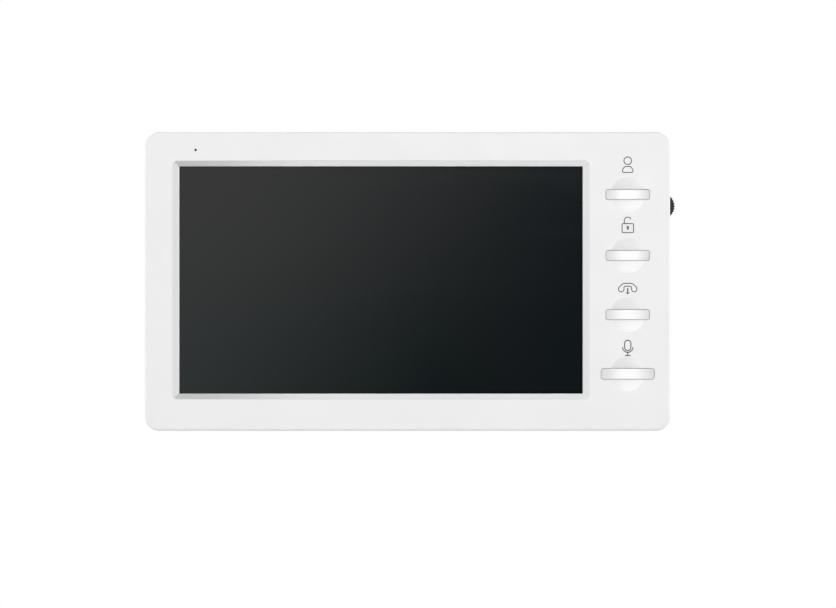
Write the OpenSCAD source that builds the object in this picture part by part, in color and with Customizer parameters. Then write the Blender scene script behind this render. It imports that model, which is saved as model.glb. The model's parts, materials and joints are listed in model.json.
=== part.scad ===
// Wall-hung video intercom monitor: a flat white case with a wide screen, four bar keys
// over round finger dimples, and a volume wheel in its right side.
// Sizes are in millimetres. The wall is the plane Y = 0, the front faces -Y, and +Z is up.
// The origin is the centre of the wall bracket's screw pattern, on the wall.
//
// The case takes its outer size from what it holds: across, the screen and the keys; up, the
// display and the room over and under it; and in depth, the stack from the wall to the face.
//
// Each sub-part is drawn lying down: x to the right, y up the wall and z out from the wall.
// The module stand() then turns it upright.

/* [Case] */
// Corner radius of the case seen from the front
corner_r = 5.6; // [4.5:0.1:8]
// Rounding of the front cover's front edge
edge_r = 1; // [0.5:0.1:1.6]
// Thickness of the side walls
side_t = 2; // [1.6:0.1:2.2]
// Thickness of the front wall
face_t = 2.2; // [1.9:0.1:2.5]
// Thickness of the rear cover's back wall
back_t = 2; // [1.6:0.1:2.4]
// Gap between the wall and the back of the case
wall_gap = 4; // [3:0.1:4.4]
// Room between the main board and the back of the display
parts_room = 4.2; // [3.8:0.1:6]
// Room over the display, for the microphone and two clamps
head_room = 8.2; // [7.4:0.1:12]
// Room under the display, for two clamps
foot_room = 5.8; // [5.4:0.1:10]
// Room at the left of the display
side_room = 7.3; // [6.7:0.1:12]
// How far the rear cover's sides stand in from the front cover's
rear_inset = 1.5; // [1:0.1:1.6]
// Rounding of the rear cover's back edge
rear_edge_r = 1.5; // [0.8:0.1:2]
// Height of the rear cover's tongue inside the front cover
tongue_h = 1.2; // [0.8:0.1:1.6]
// Thickness of the tongue
tongue_t = 1.5; // [1.2:0.1:1.6]

/* [Screen] */
// Width of the visible screen
view_w = 155; // [130:1:180]
// Height of the visible screen
view_h = 87.3; // [79:0.1:104]
// Border of the display at the left of the visible screen
lcd_border_left = 4; // [3.6:0.1:5]
// Border of the display at the right of the visible screen
lcd_border_right = 4; // [3.6:0.1:4.4]
// Border of the display over the visible screen
lcd_border_top = 3.1; // [2.9:0.1:4]
// Border of the display under the visible screen
lcd_border_bottom = 6.6; // [5.6:0.1:8]
// Width of the recess at the left and right of the screen
bevel_side = 2.9; // [1.5:0.1:3.5]
// Width of the recess above and below the screen
bevel_top = 2.4; // [1.5:0.1:3.2]
// Depth of the recess
bevel_drop = 1.2; // [0.6:0.1:1.5]
// Size of the slanted corners at the mouth of the recess
bevel_corner = 1.4; // [0.6:0.1:2]
// Width of the flat lip at the foot of the recess
lip_w = 0.7; // [0.3:0.1:1]
// Thickness of the clear window
window_t = 1.5; // [1:0.1:1.6]
// How far the window reaches behind the lip
window_lap = 2.6; // [1.5:0.1:2.8]
// Thickness of the tape that holds the window
tape_t = 0.3; // [0.2:0.05:0.5]
// Thickness of the display module
lcd_t = 4; // [3.6:0.1:4.3]
// Thickness of the display's glass
panel_t = 1.3; // [1:0.1:1.5]
// Thickness of the display's steel frame
lcd_sheet = 0.5; // [0.3:0.1:0.6]

/* [Keys] */
// Width of the three upper keys
key_w = 16.7; // [15:0.1:19]
// Width of the talk key
talk_w = 20.4; // [16:0.1:21]
// Height of the three upper keys
key_h = 3.8; // [3.5:0.1:5]
// Height of the talk key
talk_h = 4.1; // [3.7:0.1:5.2]
// Corner radius of the three upper keys
key_r = 0.7; // [0.5:0.1:1.6]
// Corner radius of the talk key
talk_r = 1; // [0.5:0.1:1.8]
// From the visible screen to the middle of the keys
key_from_view = 17.4; // [16.4:0.1:24]
// From the middle of the keys to the case's right edge
key_inset = 16.3; // [15.4:0.1:22]
// From the case's top edge to the middle of the top key
key_top = 24.1; // [23:0.1:26]
// Distance from key to key
key_pitch = 22.75; // [20:0.05:23]
// Extra distance under the top key
top_key_extra = 0.7; // [0:0.1:1]
// How far the middle of a key stands out of the face
key_proud = 1; // [0.9:0.1:2]
// How much further the middle of a key stands out than its ends
key_crown = 0.6; // [0.2:0.1:0.8]
// How far a key is pushed in
key_travel = 0.5; // [0.2:0.05:0.6]
// Clearance between a key and its slot
key_gap = 0.15; // [0.1:0.05:0.3]
// Radius of the dimple round a key
dimple_r = 6.7; // [5:0.1:7.5]
// Depth of the dimple
dimple_depth = 1.5; // [0.8:0.1:1.6]
// Wall left under the dimple
dimple_wall = 1.3; // [1:0.1:1.5]
// How far a key's flange reaches past its slot
flange_lap = 1; // [0.6:0.1:1.2]
// Thickness of a key's flange
flange_t = 1; // [0.7:0.1:1.2]
// Length of the stem between a flange and its switch
stem_h = 2; // [1.5:0.1:2.3]
// Radius of the stem
stem_r = 1.8; // [1.2:0.1:2]

/* [Switches and control board] */
// Side of a switch's square body
switch_side = 6; // [5:0.1:7]
// Height of a switch's body
switch_h = 3.5; // [3:0.1:3.8]
// Radius of a switch's plunger
plunger_r = 1.5; // [1:0.1:1.8]
// How far a plunger stands out of its switch
plunger_proud = 1; // [0.8:0.1:1.3]
// How far the control board reaches from the middle of the keys towards the screen
control_reach = 9.6; // [8:0.1:10.5]
// Thickness of both boards
board_t = 1.6; // [1.2:0.1:1.6]

/* [Volume wheel] */
// Radius of the wheel
wheel_r = 5.2; // [4.9:0.1:5.5]
// Thickness of the wheel
wheel_t = 2.2; // [1.6:0.1:2.4]
// How far the wheel stands out of the case's side
wheel_proud = 1.95; // [1.3:0.05:2.1]
// From the case's top edge to the wheel's axis
wheel_top = 28.5; // [26:0.1:32]
// Number of grips round the wheel
wheel_grips = 30; // [20:1:36]
// Radius of each groove between two grips
grip_r = 0.28; // [0.15:0.01:0.32]
// Radius of the post that the wheel turns on
post_r = 0.8; // [0.6:0.05:0.8]

/* [Microphone] */
// From the case's left edge to the microphone hole
mic_left = 19.5; // [18:0.1:24]
// Gap between the display and the microphone's boot
mic_rise = 0.4; // [0.2:0.1:0.8]
// Radius of the microphone hole
mic_hole_r = 0.5; // [0.3:0.05:0.8]
// Radius of the microphone
mic_r = 2.2; // [1.8:0.05:2.25]
// Length of the microphone
mic_h = 2.2; // [1.5:0.1:2.6]
// Thickness of the rubber boot round the microphone
boot_t = 0.7; // [0.5:0.05:0.75]

/* [Main board] */
// Gap between the speaker and the main board
speaker_gap = 12.6; // [11:0.1:14]
// Gap between the main board and the control board, seen from the front
board_gap = 6; // [4:0.1:8]
// From the inside of the case to the main board's upper and lower edges
main_end_room = 13.5; // [12:0.1:15]
// Height of the posts under the main board
main_post_h = 5.2; // [4.8:0.1:5.4]
// Distance from pin to pin in the sockets
pin_pitch = 2; // [1.8:0.05:2]
// Gap between two sockets
socket_gap = 1.2; // [0.6:0.1:1.4]
// Wall of a socket
socket_wall = 0.7; // [0.5:0.05:0.9]
// Height of a socket across its pins
socket_h = 4.8; // [4.4:0.1:5.4]
// How far the sockets' mouths lie inside the back of the case
socket_sink = 0.6; // [0.2:0.1:1.2]

/* [Speaker] */
// Outer radius of the speaker
speaker_r = 18; // [15:0.1:18.2]
// Depth of the speaker's basket
basket_h = 4; // [3:0.1:4.4]
// Radius of the magnet
magnet_r = 10; // [8:0.1:10.5]
// Thickness of the magnet
magnet_t = 3; // [2:0.1:3.2]
// Thickness of the foam ring under the speaker
gasket_t = 0.8; // [0.5:0.05:1]
// From the case's top edge to the middle of the speaker
speaker_top = 71.5; // [68:0.5:76]
// Width of each slot in the grille
grille_slot = 1.6; // [1:0.1:1.8]
// Distance from slot to slot in the grille
grille_pitch = 3; // [2.6:0.1:3.6]

/* [Wall bracket] */
// From each side of the case to the wall bracket
bracket_inset = 47; // [45:0.5:49]
// Height of the wall bracket
bracket_h = 76; // [72:1:80]
// Thickness of the bracket's sheet steel
bracket_t = 1.2; // [1:0.1:1.4]
// Corner radius of the bracket
bracket_r = 5; // [2:0.5:7]
// Width of the window for the wires
wire_w = 42; // [38:1:46]
// Height of the window for the wires
wire_h = 48; // [40:1:54]
// From each side of the bracket to its wall screws
wall_screw_inset = 8; // [7:0.5:10]
// Distance up the four wall screws
wall_screw_y = 60; // [58:0.5:62]
// Radius of the four wall screw holes
wall_screw_r = 2.2; // [1.8:0.05:2.4]
// Distance between the two wall box slots
box_screw_x = 60; // [58:0.5:61]
// Radius of the wall box slots' round ends
box_slot_r = 2.1; // [1.8:0.05:2.2]
// Length of each wall box slot
box_slot_l = 8; // [6:0.1:8]
// Width of a hook
hook_w = 8; // [6:0.1:8]
// Length of a hook's upright lip
hook_lip = 5; // [4:0.1:5.5]
// From each side of the bracket to the middles of its hooks
hook_inset = 10; // [9:0.5:11]
// Distance up the hooks
hook_y = 36; // [32:0.5:38]

/* [Fasteners] */
// Radius of the case screws
case_screw_r = 1.4; // [1.2:0.05:1.5]
// Length of the case screws under the head
case_screw_l = 12; // [10:0.5:14]
// Depth of the wells that the case screws sit in
case_screw_sink = 4; // [3:0.1:4.5]
// Radius of the small screws
small_screw_r = 1; // [0.8:0.05:1.1]
// Length of the small screws under the head
small_screw_l = 5; // [4.5:0.1:5.5]

/* [Hidden] */
$fn = 64;

// Clearances
seat_gap = 0.2;     // between the tongue and the front cover, and between bracket and case
run_gap = 0.05;     // between the wheel and its post, and above a hook's neck
pilot_gap = 0.02;   // between a screw and its pilot hole
pilot_room = 0.5;   // left over the end of a small screw
part_gap = 0.3;     // between loose neighbours
board_gap_side = 0.4;   // between the control board and the tongue
cut = 1;            // how far a cutting shape runs past the wall it cuts
weld = 0.1;         // how far a post or a rib runs into the wall it stands on

// Levels, counted out from the wall
z_back = wall_gap;                                // outside of the back wall
z_floor = z_back + back_t;                        // inside of the back wall
z_main = z_floor + main_post_h;                   // back of the main board
z_main_top = z_main + board_t;                    // front of the main board
z_lcd_back = z_main_top + parts_room;             // back of the display
z_lcd = z_lcd_back + lcd_t;                       // front of the display
z_window = z_lcd + window_t;                      // front of the window
z_inner = z_window + tape_t;                      // inside of the front wall
case_d = z_inner + face_t;                        // front face
z_lip = case_d - bevel_drop;                      // lip round the screen
z_pad = case_d - dimple_depth - dimple_wall;      // back of the wall under a dimple
flange_gap = 0.1;                                 // between a key's flange and that wall
z_flange = min(z_pad, z_inner) - flange_gap - flange_t;
z_plunger = z_flange - stem_h;                    // end of a plunger at rest
z_switch = z_plunger - plunger_proud;             // top of a switch
z_control = z_switch - switch_h;                  // front of the control board
tongue_drop = 0.9;                                // from the control board's front to the tongue
z_part = z_control - tongue_drop - tongue_h;      // joint between the two covers
front_depth = case_d - z_part;                    // of the front cover's side walls

// Places across the case
view_left = side_t + side_room + lcd_border_left;
view_top = side_t + head_room + lcd_border_top;
case_w = view_left + view_w + key_from_view + key_inset;
case_h = view_top + view_h + lcd_border_bottom + foot_room + side_t;
inner_x = case_w / 2 - side_t;
inner_y = case_h / 2 - side_t;
view_x = view_left + (view_w - case_w) / 2;
view_y = (case_h - view_h) / 2 - view_top;
key_x = case_w / 2 - key_inset;
wheel_x = case_w / 2 + wheel_proud - wheel_r;
wheel_y = case_h / 2 - wheel_top;
lcd_left = view_x - view_w / 2 - lcd_border_left;
lcd_right = view_x + view_w / 2 + lcd_border_right;
lcd_top = view_y + view_h / 2 + lcd_border_top;
lcd_bottom = view_y - view_h / 2 - lcd_border_bottom;
boot_r = mic_r + boot_t;
mic_x = mic_left - case_w / 2;
mic_y = lcd_top + mic_rise + boot_r;
bracket_w = case_w - 2 * bracket_inset;
wall_screw_x = bracket_w - 2 * wall_screw_inset;        // across the wall screws
hook_x = bracket_w - 2 * hook_inset;                    // across the hooks
speaker_x = -(inner_x + (hook_x + hook_w) / 2) / 2;     // midway between the wall and the hooks
speaker_y = case_h / 2 - speaker_top;
boss_from_side = 3.7;                                   // from the front cover's inside to a boss
boss_from_end = 4.3;
case_boss_x = inner_x - boss_from_side;
case_boss_y = inner_y - boss_from_end;

// Keys: 0 monitor, 1 unlock, 2 hang up, 3 talk
TALK = 3;
function bar_w(i) = i == TALK ? talk_w : key_w;
function bar_h(i) = i == TALK ? talk_h : key_h;
function bar_r(i) = i == TALK ? talk_r : key_r;
function key_y(i) = case_h / 2 - key_top - key_pitch * i - (i > 0 ? top_key_extra : 0);
function crown_radius(i) = (pow(bar_w(i) / 2, 2) + pow(key_crown, 2)) / (2 * key_crown);
dimple_ball = (pow(dimple_r, 2) + pow(dimple_depth, 2)) / (2 * dimple_depth);

// Display module and the four clamps that hold it
lcd_fit = 0.2;          // between the display's frame and what it holds
lcd_rib_t = 1.2;        // ribs that locate the display
lcd_rib_l = 16;
lcd_rib_h = 3;          // how far the ribs reach down the display's sides
z_rib = z_lcd - lcd_rib_h;
lcd_rib_spread = 20;    // from the middle of the screen to each rib
lcd_open = 0.6;         // from the visible screen to the display's steel lip
clamp_t = 1;
clamp_w = 8;
clamp_lap = 4;
clamp_spread = 50;      // from the middle of the screen to each clamp
clamp_boss_r = 2.5;
clamp_end = 2.1;        // from a clamp's screw to its outer end
clamp_y = [lcd_top + part_gap + clamp_boss_r, lcd_bottom - part_gap - clamp_boss_r];

// Small screws have round heads with a cross slot
small_head_r = small_screw_r + 1.2;
small_head_t = 1.2;
board_hole_r = small_screw_r + 0.3;
speaker_head_r = small_head_r + 0.8;
case_head_r = case_screw_r + 1;
case_head_t = 1.6;
case_boss_r = case_screw_r + 1.4;
case_column_r = case_head_r + 1.3;
case_tip_room = 0.5;    // left over the end of a case screw
case_screw_gap = 0.25;  // round a case screw in the rear cover

// Boards
control_right = inner_x - seat_gap - tongue_t - board_gap_side;
control_left = key_x - control_reach;
control_boss_gap = 2;                                   // between the control board and a boss
control_end = case_boss_y - case_boss_r - control_boss_gap;     // from the middle to either end
main_right = control_left - board_gap;
main_left = speaker_x + speaker_r + speaker_gap;
main_x = (main_left + main_right) / 2;
main_end = inner_y - main_end_room;                     // from the middle to either end
main_screw_inset = 4;
main_boss_r = 2.6;

// Sockets for the plugs that come through the wall bracket, left to right
SOCKET_PINS = [4, 4, 4, 2];
pin_side = 0.6;
socket_end = 1.95;      // from the middle of an end pin to the socket's end
function socket_w(n) = pin_pitch * (n - 1) + 2 * socket_end;
function sum_to(v, i) = i <= 0 ? 0 : v[i - 1] + sum_to(v, i - 1);
socket_widths = [for (n = SOCKET_PINS) socket_w(n) + socket_gap];
socket_row = sum_to(socket_widths, len(socket_widths)) - socket_gap;
function socket_x(i) = -socket_row / 2 + sum_to(socket_widths, i) + socket_w(SOCKET_PINS[i]) / 2;
z_mouth = z_back + socket_sink;

// Connectors inside the case
lead_socket_l = 5;
lead_socket_w = 6;
lead_socket_h = 3.2;
ribbon_socket_l = 4;
ribbon_socket_h = 1.4;
ribbon_socket_rim = 1.5;   // of the socket past each edge of its ribbon
ribbon_t = 0.3;
control_ribbon_w = 8;
lcd_ribbon_w = 30;
lcd_socket_y = 1.5 - main_end;
// In the middle of the screen, if the socket clears the main board's corner screw there
lcd_ribbon_x = max(view_x, main_left + main_screw_inset + small_head_r + part_gap
                   + ribbon_socket_rim + lcd_ribbon_w / 2);

// Leads inside the case: points along the middle of each
lead_r = 0.6;
lead_sides = 8;
lead_steps = 3;         // rings between two points of a route
z_lead = z_main_top + lead_socket_h / 2;
mic_lead_y = main_end - 12;
mic_lead_route = [
  [mic_x, mic_y, z_inner - boot_t - mic_h],
  [mic_x, mic_y, z_inner - boot_t - mic_h - 1.4],
  [mic_x + 1.2, mic_y - 1.6, z_lcd_back - 1.6],
  [mic_x + 8, mic_y - 7, z_lcd_back - 2.2],
  [main_left - 20, mic_lead_y + 9, z_lcd_back - 2.4],
  [main_left - 9, mic_lead_y + 2, z_lcd_back - 2.6],
  [main_left - 2, mic_lead_y, z_lead],
  [main_left, mic_lead_y, z_lead]
];
speaker_lead_y = speaker_y - 6;
speaker_tag_w = 4;
speaker_tag_l = 3;
speaker_tag_h = 2;
speaker_tag_x = speaker_x + speaker_r - 1;      // outer end of the tag
z_speaker_lead = z_floor + gasket_t + 1.6;
speaker_lead_route = [
  [speaker_tag_x, speaker_y, z_speaker_lead],
  [speaker_tag_x + 2, speaker_y, z_speaker_lead],
  [speaker_tag_x + 5, speaker_y - 1, z_speaker_lead + 1.6],
  [main_left - 5, speaker_lead_y + 1, z_lead - 0.8],
  [main_left - 2, speaker_lead_y, z_lead],
  [main_left, speaker_lead_y, z_lead]
];

// Turns a drawing made lying down so that it hangs on the wall
module stand() {
  rotate([90, 0, 0]) children();
}

// A rectangle with round corners, centred
module rounded_outline(w, h, r) {
  square([w - 2 * r, h], center = true);
  square([w, h - 2 * r], center = true);
  for (sx = [-1, 1], sy = [-1, 1])
    translate([sx * (w / 2 - r), sy * (h / 2 - r)]) circle(r);
}

// A slot with round ends that runs along x, centred
module slot_outline(l, r) {
  square([l - 2 * r, 2 * r], center = true);
  for (s = [-1, 1]) translate([s * (l / 2 - r), 0]) circle(r);
}

// Half the cross-section of a slab whose top edge is rounded
module edge_profile(reach, height, e) {
  square([reach, height - e]);
  square([reach - e, height]);
  translate([reach - e, height - e]) circle(e);
}

// A slab with round corners of radius r and a rounded top edge of radius e
module rounded_slab(w, h, t, r, e) {
  for (turn = [0, 180]) rotate([0, 0, turn]) {
    rotate([90, 0, 90]) translate([0, 0, r - w / 2])
      linear_extrude(w - 2 * r) edge_profile(h / 2, t, e);
    translate([w / 2 - r, 0, 0]) rotate([90, 0, 0]) translate([0, 0, r - h / 2])
      linear_extrude(h - 2 * r) edge_profile(r, t, e);
    translate([w / 2 - r, h / 2 - r, 0])
      rotate_extrude(angle = 90) edge_profile(r, t, e);
    translate([w / 2 - r, r - h / 2, 0]) rotate([0, 0, -90])
      rotate_extrude(angle = 90) edge_profile(r, t, e);
  }
}

// A box given by its lower and upper corners
module block(low, high) {
  translate(low) cube(high - low);
}

// A screw whose head lies at z = 0 to head_t and whose shank runs up from it
module screw(head_r, head_t, shank_r, length) {
  cross_w = 0.55;
  difference() {
    union() {
      cylinder(r = head_r, h = head_t);
      cylinder(r = shank_r, h = head_t + length);
    }
    for (turn = [0, 90]) rotate([0, 0, turn])
      block([-head_r * 0.6, -cross_w / 2, -cut], [head_r * 0.6, cross_w / 2, head_t * 0.55]);
  }
}

// A round post between two levels
module post(r, z_low, z_high) {
  translate([0, 0, z_low]) cylinder(r = r, h = z_high - z_low);
}

// A round hole that opens at z_mouth_end and runs up to z_end
module bore(r, z_mouth_end, z_end) {
  post(r, z_mouth_end - cut, z_end);
}

// The outline of a flat strip of thickness t that follows points
function side_of(points, i) =
  let (a = points[max(i - 1, 0)], b = points[min(i + 1, len(points) - 1)], d = b - a)
  [-d.y, d.x] / norm(d);
function strip_outline(points, t) = concat(
  [for (i = [0:len(points) - 1]) points[i] + side_of(points, i) * t / 2],
  [for (i = [len(points) - 1:-1:0]) points[i] - side_of(points, i) * t / 2]);

// A smooth curve through the points of a route
function curve_at(p, i, u) =
  let (a = p[max(i - 1, 0)], b = p[i], c = p[i + 1], d = p[min(i + 2, len(p) - 1)])
  0.5 * (2 * b + (c - a) * u + (2 * a - 5 * b + 4 * c - d) * u * u
    + (3 * b - a - 3 * c + d) * u * u * u);
function smooth_route(p, steps) = concat(
  [for (i = [0:len(p) - 2], k = [0:steps - 1]) curve_at(p, i, k / steps)],
  [p[len(p) - 1]]);

// A tube of radius r along a route
module tube(route, r, sides) {
  path = smooth_route(route, lead_steps);
  last = len(path) - 1;
  up = [0.05, 1, 0.1];
  rings = [for (i = [0:last])
    let (
      d = i == 0 ? route[1] - route[0]
        : i == last ? route[len(route) - 1] - route[len(route) - 2]
        : path[i + 1] - path[i - 1],
      along = d / norm(d),
      across = cross(up, along) / norm(cross(up, along)),
      over = cross(along, across))
    for (k = [0:sides - 1])
      path[i] + r * (cos(360 * k / sides) * across + sin(360 * k / sides) * over)];
  walls = [for (i = [0:last - 1], k = [0:sides - 1])
    let (a = i * sides + k, b = i * sides + (k + 1) % sides)
    [a, a + sides, b + sides, b]];
  caps = [[for (k = [0:sides - 1]) k], [for (k = [sides - 1:-1:0]) last * sides + k]];
  polyhedron(points = rings, faces = concat(walls, caps), convexity = 6);
}

// Wall bracket

module at_hooks() {
  for (sx = [-1, 1], sy = [-1, 1])
    translate([sx * hook_x / 2, sy * hook_y / 2, 0]) children();
}

wire_r = 3;                      // corner radius of the window for the wires
z_hook = z_floor + seat_gap;     // underside of a hook's lip
hook_window = hook_lip + 2;      // hole left in the plate by a hook

// A pressed steel plate with stiffening edges and four upright hooks
module wall_bracket() {
  flange_l = bracket_w - 4 * bracket_r;
  color("silver") stand() {
    linear_extrude(bracket_t) difference() {
      rounded_outline(bracket_w, bracket_h, bracket_r);
      rounded_outline(wire_w, wire_h, wire_r);
      for (sx = [-1, 1], sy = [-1, 1])
        translate([sx * wall_screw_x / 2, sy * wall_screw_y / 2]) circle(wall_screw_r);
      for (s = [-1, 1]) translate([s * box_screw_x / 2, 0]) slot_outline(box_slot_l, box_slot_r);
      at_hooks() translate([-hook_w / 2, 0]) square([hook_w, hook_window]);
    }
    at_hooks() {
      block([-hook_w / 2, -bracket_t, 0], [hook_w / 2, 0, z_hook + bracket_t]);
      block([-hook_w / 2, -bracket_t, z_hook], [hook_w / 2, hook_lip, z_hook + bracket_t]);
    }
    for (s = [-1, 1])
      translate([0, s * (bracket_h - bracket_t) / 2, 0])
        block([-flange_l / 2, -bracket_t / 2, 0], [flange_l / 2, bracket_t / 2, z_back - seat_gap]);
  }
}

// Front cover

module at_case_bosses() {
  for (sx = [-1, 1], sy = [-1, 1])
    translate([sx * case_boss_x, sy * case_boss_y, 0]) children();
}

module at_clamps() {
  for (sx = [-1, 1], side = [0, 1])
    translate([view_x + sx * clamp_spread, clamp_y[side], 0]) children();
}

module at_keys() {
  for (i = [0:TALK]) translate([key_x, key_y(i), 0]) {
    $key = i;
    children();
  }
}

// Half way between neighbouring keys
module at_control_screws() {
  for (i = [0:TALK - 1]) translate([key_x, (key_y(i) + key_y(i + 1)) / 2, 0]) children();
}

// Between two slopes of the recess, which lie foot from its middle at the lip and mouth at the face
module between_slopes(turn, foot, mouth) {
  rise = bevel_drop + cut;
  grow = (mouth - foot) * rise / bevel_drop;
  rotate([0, 0, turn]) rotate([90, 0, 0]) translate([0, 0, -case_w]) linear_extrude(2 * case_w)
    polygon([[-foot, 0], [foot, 0], [foot + grow, rise], [-foot - grow, rise]]);
}

// A cut that narrows from the mouth of the recess, with slanted corners, to the lip round the screen
module screen_recess() {
  mouth_w = view_w / 2 + bevel_side;
  mouth_h = view_h / 2 + bevel_top;
  foot_w = view_w / 2 + lip_w;
  foot_h = view_h / 2 + lip_w;
  sharp = 0.2;               // past the corners of the foot, which stay sharp
  corner_foot = (foot_w + foot_h + sharp) / sqrt(2);
  corner_mouth = (mouth_w + mouth_h - bevel_corner) / sqrt(2);
  translate([view_x, view_y, z_lip]) intersection() {
    between_slopes(0, foot_w, mouth_w);
    between_slopes(90, foot_h, mouth_h);
    between_slopes(45, corner_foot, corner_mouth);
    between_slopes(-45, corner_foot, corner_mouth);
  }
}

// The bar's outline, grown by g
module bar_outline(i, g) {
  rounded_outline(bar_w(i) + 2 * g, bar_h(i) + 2 * g, bar_r(i) + g);
}

module front_cover() {
  wheel_reach = inner_x - wheel_x;
  wheel_side_gap = 0.4;      // between the wheel and the end of its slot
  wheel_slot = sqrt(wheel_r * wheel_r - wheel_reach * wheel_reach) + wheel_side_gap;
  pad_rim = 0.5;             // of the wall behind a dimple past its edge
  color("white") stand() difference() {
    union() {
      difference() {
        translate([0, 0, z_part]) rounded_slab(case_w, case_h, front_depth, corner_r, edge_r);
        translate([0, 0, z_part - cut]) linear_extrude(z_inner - z_part + cut)
          rounded_outline(2 * inner_x, 2 * inner_y, corner_r - side_t);
      }
      at_keys() post(dimple_r + pad_rim, min(z_pad, z_inner - weld), z_inner + weld);
      at_case_bosses() post(case_boss_r, z_part, z_inner + weld);
      at_clamps() post(clamp_boss_r, z_lcd_back, z_inner + weld);
      at_control_screws() post(clamp_boss_r, z_control, z_inner + weld);
      for (s = [-1, 1]) {
        translate([lcd_left - part_gap - lcd_rib_t, view_y + s * lcd_rib_spread - lcd_rib_l / 2, z_rib])
          cube([lcd_rib_t, lcd_rib_l, z_inner + weld - z_rib]);
        translate([view_x + s * lcd_rib_spread - lcd_rib_l / 2, lcd_top + part_gap, z_rib])
          cube([lcd_rib_l, lcd_rib_t, z_inner + weld - z_rib]);
      }
    }
    translate([view_x, view_y, z_inner - cut]) linear_extrude(face_t + 2 * cut)
      square([view_w, view_h], center = true);
    screen_recess();
    at_keys() {
      translate([0, 0, z_pad - cut]) linear_extrude(case_d - z_pad + 2 * cut)
        bar_outline($key, key_gap);
      translate([0, 0, case_d - dimple_depth + dimple_ball]) sphere(dimple_ball);
    }
    translate([mic_x, mic_y, z_inner - cut]) cylinder(r = mic_hole_r, h = face_t + 2 * cut);
    at_case_bosses()
      bore(case_screw_r + pilot_gap, z_part, z_back + case_screw_sink + case_screw_l + case_tip_room);
    at_clamps()
      bore(small_screw_r + pilot_gap, z_lcd_back, z_lcd_back - clamp_t + small_screw_l + pilot_room);
    at_control_screws()
      bore(small_screw_r + pilot_gap, z_control, z_control - board_t + small_screw_l + pilot_room);
    block([inner_x - cut, wheel_y - wheel_slot, z_wheel - wheel_lift - part_gap],
          [case_w / 2 + cut, wheel_y + wheel_slot, z_wheel + wheel_t + wheel_lift + part_gap]);
  }
}

// Rear cover

vent_l = 7;
vent_r = 1;
vent_pitch = 6;
vent_half = 10;             // slots on either side of the middle one
vent_inset = 11.5;          // from the case's edge to the middle of a row

// A row of upright slots that let warm air out
module vent_outline() {
  for (i = [-vent_half:vent_half])
    translate([i * vent_pitch, 0]) rotate([0, 0, 90]) slot_outline(vent_l, vent_r);
}

grille_inset = 5;           // from the speaker's edge to the grille's

// Parallel slots that fill a circle
module grille_outline() {
  reach = speaker_r - grille_inset;
  rows = floor((reach - 1) / grille_pitch);
  for (k = [-rows:rows]) translate([0, k * grille_pitch])
    slot_outline(2 * sqrt(pow(reach, 2) - pow(k * grille_pitch, 2)), grille_slot / 2);
}

module at_main_screws() {
  for (x = [main_left + main_screw_inset, main_right - main_screw_inset], s = [-1, 1])
    translate([x, s * (main_end - main_screw_inset), 0]) children();
}

basket_t = 0.8;                                       // thickness of the speaker's basket
z_basket = z_floor + gasket_t;                        // under the basket's rim
speaker_boss_r = small_screw_r + 0.9;
speaker_screw_ring = speaker_r + part_gap + speaker_boss_r;
speaker_screw_l = 3;

module at_speaker_screws() {
  for (turn = [90, 210, 330])
    translate([speaker_x, speaker_y, 0]) rotate([0, 0, turn]) translate([speaker_screw_ring, 0, 0])
      children();
}

hook_side_gap = 0.5;        // between a hook and the side of its slot
hook_drop_gap = 0.8;        // between a hook's lip and the end of its slot

module rear_cover() {
  outer_w = case_w - 2 * rear_inset;
  outer_h = case_h - 2 * rear_inset;
  outer_r = corner_r - rear_inset;
  tongue_x = inner_x - seat_gap;
  tongue_y = inner_y - seat_gap;
  tongue_r = corner_r - side_t - seat_gap;
  tongue_root = 1.5;        // how far the tongue runs down inside the side walls
  hook_slot = hook_lip + bracket_t + hook_drop_gap;
  color("white") stand() difference() {
    union() {
      difference() {
        translate([0, 0, z_part]) mirror([0, 0, 1])
          rounded_slab(outer_w, outer_h, z_part - z_back, outer_r, rear_edge_r);
        translate([0, 0, z_floor]) linear_extrude(z_part - z_floor + cut)
          rounded_outline(outer_w - 2 * side_t, outer_h - 2 * side_t, outer_r - side_t);
      }
      difference() {
        translate([0, 0, z_part - tongue_root]) linear_extrude(tongue_h + tongue_root) difference() {
          rounded_outline(2 * tongue_x, 2 * tongue_y, tongue_r);
          rounded_outline(2 * (tongue_x - tongue_t), 2 * (tongue_y - tongue_t), tongue_r - tongue_t);
        }
        at_case_bosses() post(case_boss_r + part_gap, z_part, z_part + tongue_h + cut);
      }
      at_case_bosses() post(case_column_r, z_floor - weld, z_part);
      at_main_screws() post(main_boss_r, z_floor - weld, z_main);
      at_speaker_screws() post(speaker_boss_r, z_floor - weld, z_basket + basket_t);
    }
    at_case_bosses() {
      post(case_screw_r + case_screw_gap, z_back - cut, z_part + cut);
      post(case_head_r + part_gap, z_back - cut, z_back + case_screw_sink);
    }
    at_main_screws() post(small_screw_r + pilot_gap, z_main_top - small_screw_l - pilot_room, z_main + cut);
    at_speaker_screws()
      post(small_screw_r + pilot_gap, z_basket + basket_t - speaker_screw_l - pilot_room,
           z_basket + basket_t + cut);
    at_hooks() block([-hook_w / 2 - hook_side_gap, run_gap - hook_slot, z_back - cut],
                     [hook_w / 2 + hook_side_gap, run_gap, z_floor + cut]);
    translate([0, 0, z_back - cut]) linear_extrude(back_t + 2 * cut) {
      for (s = [-1, 1]) translate([0, s * (case_h / 2 - vent_inset)]) vent_outline();
      translate([speaker_x, speaker_y]) grille_outline();
      square([socket_row + 2 * part_gap, socket_h + 2 * part_gap], center = true);
    }
  }
}

module case_screws() {
  color("silver") stand() at_case_bosses()
    translate([0, 0, z_back + case_screw_sink - case_head_t])
      screw(case_head_r, case_head_t, case_screw_r, case_screw_l);
}

// Screen

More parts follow.
